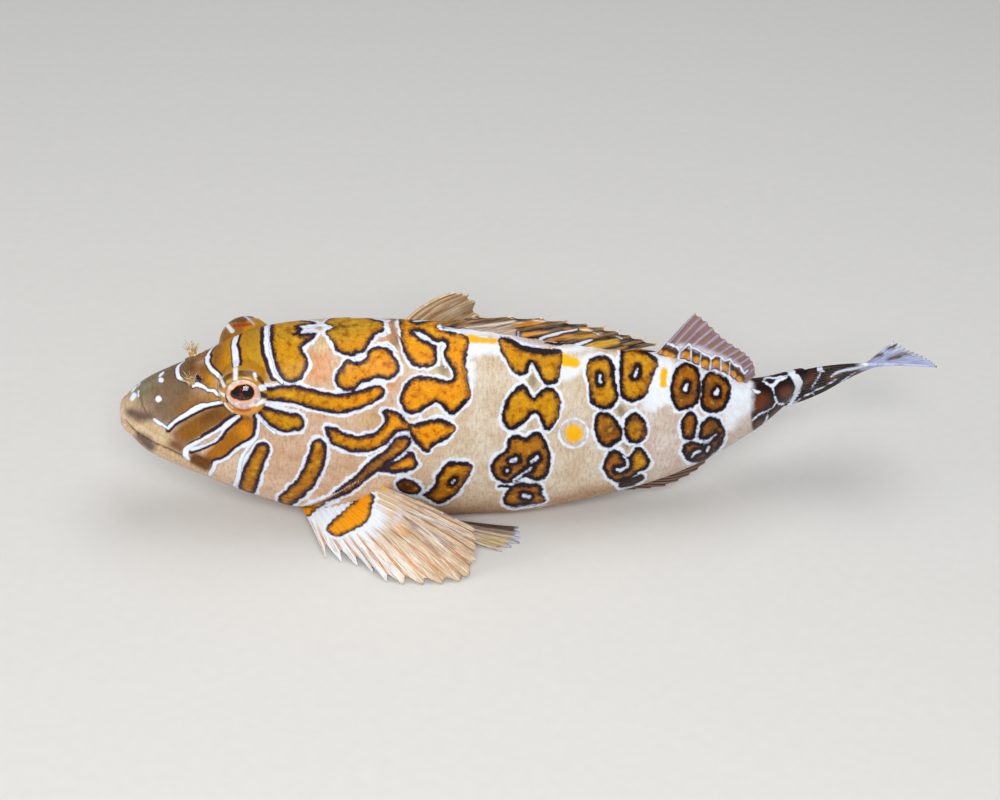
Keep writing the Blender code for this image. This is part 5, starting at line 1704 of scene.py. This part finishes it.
def fin_material(name, streak_share, streak_tone, pale_share, ray_edge):
    """A rayed fin: streaks run along the rays, which are crossed by fine joints."""
    paint = Painter(name)
    grain = paint.attribute("grain", "Vector")
    ray = paint.attribute("ray")
    streaks = paint.noise(1.0, 3.0, grain, (1.3, 0.09, 1))
    pale = paint.noise(1.0, 3.0, paint.scaled(grain, (1, 1, 9)), (2.6, 0.11, 1))
    fine = paint.noise(1.0, 2.0, grain, (5.0, 0.6, 1))
    colour = paint.mix(paint.step(ray, *ray_edge), paint.attribute("ground", "Color"),
                       paint.attribute("fill", "Color"))
    streaked = paint.maths("MULTIPLY", paint.step(streaks, 0.46, 0.62, 0.0, streak_share),
                           paint.attribute("streaky"))
    colour = paint.mix(streaked, colour, linear(streak_tone))
    lit = paint.maths("MULTIPLY", paint.step(pale, 0.52, 0.66, 0.0, pale_share),
                      paint.attribute("streaky"))
    colour = paint.mix(lit, colour, linear(FIN_GLINT))
    colour = paint.shade(colour, FIN_SHADE, fine, 0.5, 0.75, 0.0, 0.4)
    colour = add_marks(paint, colour, linear(FIN_FILL), 0.4)
    joints = paint.tree.nodes.new("ShaderNodeTexWave")
    joints.bands_direction = "Y"
    joints.inputs["Scale"].default_value = RAY_JOINTS
    paint.put(joints.inputs["Vector"], grain)
    joints = paint.maths("MULTIPLY", paint.maths("MULTIPLY", joints.outputs["Fac"], ray), 0.5)
    paint.bump(paint.maths("ADD", fine, joints), 0.12)
    return paint.finish(colour, FIN_ROUGHNESS, FIN_COAT)


def cirri_material():
    """Pale and tan skin filaments."""
    paint = Painter("cirri")
    pale = paint.step(paint.noise(1.2, 2.0), 0.4, 0.65)
    colour = paint.mix(pale, linear(CIRRI_DARK), linear(CIRRI_PALE))
    paint.bump(paint.noise(0.4, 2.0), 0.04)
    return paint.finish(colour, 0.5)


def lid_material():
    """The wet skin round the eye, with dark specks."""
    paint = Painter("eyelid")
    specks = paint.noise(0.7, 3.0)
    colour = paint.attribute("ground", "Color")
    colour = paint.shade(colour, LID_SHADE, specks, 0.5, 0.75, 0.0, 0.4)
    paint.bump(paint.noise(1.2, 2.0), 0.05)
    return paint.finish(colour, 0.22, 0.6)


def eye_material():
    """A silvery pink iris, darker at its rim, round a black pupil with an orange edge."""
    paint = Painter("iris_and_pupil")
    pupil = paint.attribute("pupil")
    spread = paint.attribute("iris", "Vector")
    specks = paint.noise(0.5, 3.0)
    iris = paint.mix(specks, linear(IRIS_PALE), linear(IRIS_DARK))
    rim = paint.noise(3.0, 1.0)
    iris = paint.over(iris, IRIS_SILVER, rim, 0.4, 0.65)
    distance = paint.tree.nodes.new("ShaderNodeSeparateXYZ")
    paint.put(distance.inputs[0], spread)
    outer = paint.step(distance.outputs["Z"], 7.4, 8.7)
    iris = paint.mix(paint.maths("MULTIPLY", outer, 0.8), iris, linear(IRIS_RIM))
    colour = paint.over(iris, PUPIL_HALO, pupil, 2.2, 0.2, 0.0, 0.7)
    colour = paint.over(colour, PUPIL_RING, pupil, 0.6, 0.3)
    lit = paint.step(paint.noise(3.4, 1.0), 0.5, 0.7)
    glow = paint.mix(lit, linear(PUPIL_BLACK), linear(PUPIL_GLOW))
    colour = paint.over(colour, glow, pupil, 0.25, -0.15)
    paint.bump(paint.noise(0.4, 2.0), 0.05)
    return paint.finish(colour, 0.3)


def cornea_material():
    """Almost clear, with bright reflections."""
    paint = Painter("cornea")
    waves = paint.noise(6.0, 1.0)
    paint.shader.inputs["Metallic"].default_value = 1.0
    paint.shader.inputs["Alpha"].default_value = 0.04
    return paint.finish((1.0, 1.0, 1.0), paint.step(waves, 0, 1, 0.0, 0.03))


def floor_material():
    """Plain and pale, with a faint grain."""
    paint = Painter("pale_floor")
    grain = paint.noise(6.0, 4.0)
    colour = paint.mix(grain, linear(FLOOR_LIGHT), linear(FLOOR_DARK))
    return paint.finish(colour, 0.85)


# Studio, in metres from the middle of the model's foot: floor's half size, and lights as
# (name, place, width, power), all turned to one point
FLOOR_REACH = 3
LIT_POINT = (0, 0, 0.05)
LIGHTS = [
    ("key", (-0.15, -1.3, 1.15), 0.7, 19),
    ("top", (0.3, 0.2, 1.6), 1.2, 9),
    ("side", (-1.4, -0.3, 0.7), 0.8, 5),
]


def add_floor():
    """A level floor under the model."""
    mesh = bpy.data.meshes.new("floor")
    turns = ((-1, -1), (1, -1), (1, 1), (-1, 1))
    corners = [(x * FLOOR_REACH, y * FLOOR_REACH, 0) for x, y in turns]
    mesh.from_pydata(corners, [], [(0, 1, 2, 3)])
    mesh.materials.append(floor_material())
    floor = bpy.data.objects.new("floor", mesh)
    bpy.context.collection.objects.link(floor)


def add_light(name, place, width, power):
    """A square light turned to the lit point."""
    light = bpy.data.lights.new(name, "AREA")
    light.shape = "SQUARE"
    light.size = width
    light.energy = power
    lamp = bpy.data.objects.new(name, light)
    lamp.location = place
    away = Vector(place) - Vector(LIT_POINT)
    lamp.rotation_euler = away.to_track_quat("Z", "Y").to_euler()
    bpy.context.collection.objects.link(lamp)


def add_camera():
    """The photo's camera, with the body's middle at its pixel in the photo."""
    right, up, back = camera_axes()
    camera = bpy.data.cameras.new("camera")
    camera.lens = LENS
    camera.sensor_width = SENSOR
    camera.shift_x = (PHOTO_WIDTH / 2 - TARGET_PIXEL[0]) / PHOTO_WIDTH
    camera.shift_y = (TARGET_PIXEL[1] - PHOTO_HEIGHT / 2) / PHOTO_WIDTH
    obj = bpy.data.objects.new("camera", camera)
    turn = Matrix((right, up, back)).transposed().to_4x4()
    obj.matrix_world = Matrix.Translation(rebuilt(TARGET + back * CAMERA_DISTANCE)) @ turn
    bpy.context.collection.objects.link(obj)
    bpy.context.scene.camera = obj


def add_world():
    """Soft light from all round."""
    world = bpy.data.worlds.new("studio")
    world.use_nodes = True
    background = world.node_tree.nodes["Background"]
    background.inputs["Color"].default_value = SKY_COLOUR
    background.inputs["Strength"].default_value = SKY_STRENGTH
    bpy.context.scene.world = world


def add_studio():
    """Floor, lights and camera."""
    add_floor()
    add_world()
    for light in LIGHTS:
        add_light(*light)
    add_camera()
    bpy.context.scene.view_settings.view_transform = "Standard"


def add_eyes():
    """Lid, ball and cornea on each side."""
    lids, balls, clear = lid_material(), eye_material(), cornea_material()
    for side_name, side in (("left", 1), ("right", -1)):
        lid(side_name, side, lids)
        eyeball(side_name, side, balls)
        cornea(side_name, side, clear)


# Fins: rays, thickness (ray at root, ray at tip, membrane at root, membrane at tip) and how far the
# membrane falls short of the rays' tips, from the first ray to the last
FIN_SIZES = {
    "pectoral_fin": (14, (3.0, 0.9, 1.1, 0.35), (0.02, 0.03, 0.1, 0.26)),
    "pelvic_fin": (6, (1.9, 0.8, 1.0, 0.4), (0.08, 0.04)),
    "dorsal_fin_spiny": (10, (2.2, 0.6, 0.9, 0.35), (0.12, 0.1)),
    "dorsal_fin_soft": (13, (1.9, 0.7, 0.8, 0.35), (0.03, 0.04)),
    "anal_fin": (9, (2.2, 0.7, 1.0, 0.4), (0.15, 0.05)),
    "caudal_fin": (13, (2.4, 0.8, 1.1, 0.35), (0.04, 0.04)),
}
# Fin materials: share and tone of the streaks, share of the pale glints, and over what nearness to
# a ray its tone takes the place of the membrane's
FIN_LOOKS = {
    "pectoral_fin": (0.6, (158, 124, 98), 0.75, (0.2, 0.55)),
    "pelvic_fin": (0.5, (96, 76, 60), 0.2, (0.45, 0.95)),
    "dorsal_fin_spiny": (0.6, (24, 12, 8), 0.35, (0.55, 1.0)),
    "dorsal_fin_soft": (0.3, (100, 76, 68), 0.0, (0.72, 1.0)),
    "anal_fin": (0.4, (40, 24, 20), 0.1, (0.45, 0.95)),
    "caudal_fin": (0.3, (60, 34, 28), 0.12, (0.45, 0.95)),
}


def add_fins(body):
    """Eight fins; those rooted on the body's side are kept off the skin beyond their roots."""
    looks = {kind: fin_material(kind, *look) for kind, look in FIN_LOOKS.items()}
    near_pectoral = painted("clay", "sand", PECTORAL_MEMBRANE, PECTORAL_RAYS, PECTORAL_CALM,
                            outlines=PECTORAL_OUTLINES, yellows=PECTORAL_SPOTS,
                            border=PECTORAL_BORDER)
    pelvic = painted("sand", "ivory", PELVIC_TONES_AND_SHADOW, PELVIC_TONES_AND_SHADOW)
    spiny = painted("bark", "ochre", SPINY_MEMBRANE, SPINY_MEMBRANE, lines=SPINY_LINES)
    soft = painted("mauve", "lilac", SOFT_MEMBRANE, SOFT_MEMBRANE, lines=SOFT_LINES,
                   border=SOFT_BORDER)
    tail = painted("umber", "mauve", CAUDAL_LAYERS, CAUDAL_LAYERS, lines=CAUDAL_LINES)
    soft_points = midline_fin(BACK, SOFT_BASE, SOFT_TIPS)
    anal_points = midline_fin(BELLY, ANAL_BASE, ANAL_TIPS)
    fins = [
        ("pectoral_fin", "_left", paired_fin(PECTORAL_LEFT, 1), near_pectoral,
         "pectoral_fin", body),
        # The far pectoral fin's honey and wheat are its own yellowish colour with painted light
        # shining through it, warmer and brighter than the near fin
        ("pectoral_fin", "_right", paired_fin(PECTORAL_RIGHT, -1), painted("honey", "wheat"),
         "pectoral_fin", body),
        ("pelvic_fin", "_left", paired_fin(PELVIC, 1), pelvic, "pelvic_fin", body),
        ("pelvic_fin", "_right", paired_fin(PELVIC, -1), pelvic, "pelvic_fin", body),
        ("dorsal_fin_spiny", "", spiny_dorsal, spiny, "dorsal_fin", None),
        ("dorsal_fin_soft", "", soft_points, soft, "dorsal_fin", None),
        ("anal_fin", "", anal_points, painted("umber", "mauve"), "anal_fin", None),
        ("caudal_fin", "", caudal_fin, tail, "caudal_fin", None),
    ]
    for kind, side, surface, paint, slot, skin_tree in fins:
        fin(kind + side, surface, FIN_SIZES[kind], paint, looks[kind], slot, skin_tree)


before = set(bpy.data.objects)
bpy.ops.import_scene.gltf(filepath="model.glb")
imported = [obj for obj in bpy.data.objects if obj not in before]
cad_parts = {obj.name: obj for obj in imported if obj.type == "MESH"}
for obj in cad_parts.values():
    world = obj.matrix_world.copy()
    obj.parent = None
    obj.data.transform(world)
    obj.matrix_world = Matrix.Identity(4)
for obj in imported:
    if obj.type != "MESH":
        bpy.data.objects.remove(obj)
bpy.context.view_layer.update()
eye_low, eye_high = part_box("eye_left")
eye_middle = (np.array(eye_low) + np.array(eye_high)) / 2
SHIFT = eye_middle / MM - in_body(EYE_PLACE[0], EYE_PLACE[1], EYE_PLACE[2])

skin_object = skin(skin_material())
skin_mesh = skin_object.data
body_tree = BVHTree.FromPolygons(
    [vertex.co for vertex in skin_mesh.vertices], [face.vertices for face in skin_mesh.polygons]
)
add_eyes()
add_fins(body_tree)
add_tufts()
add_studio()
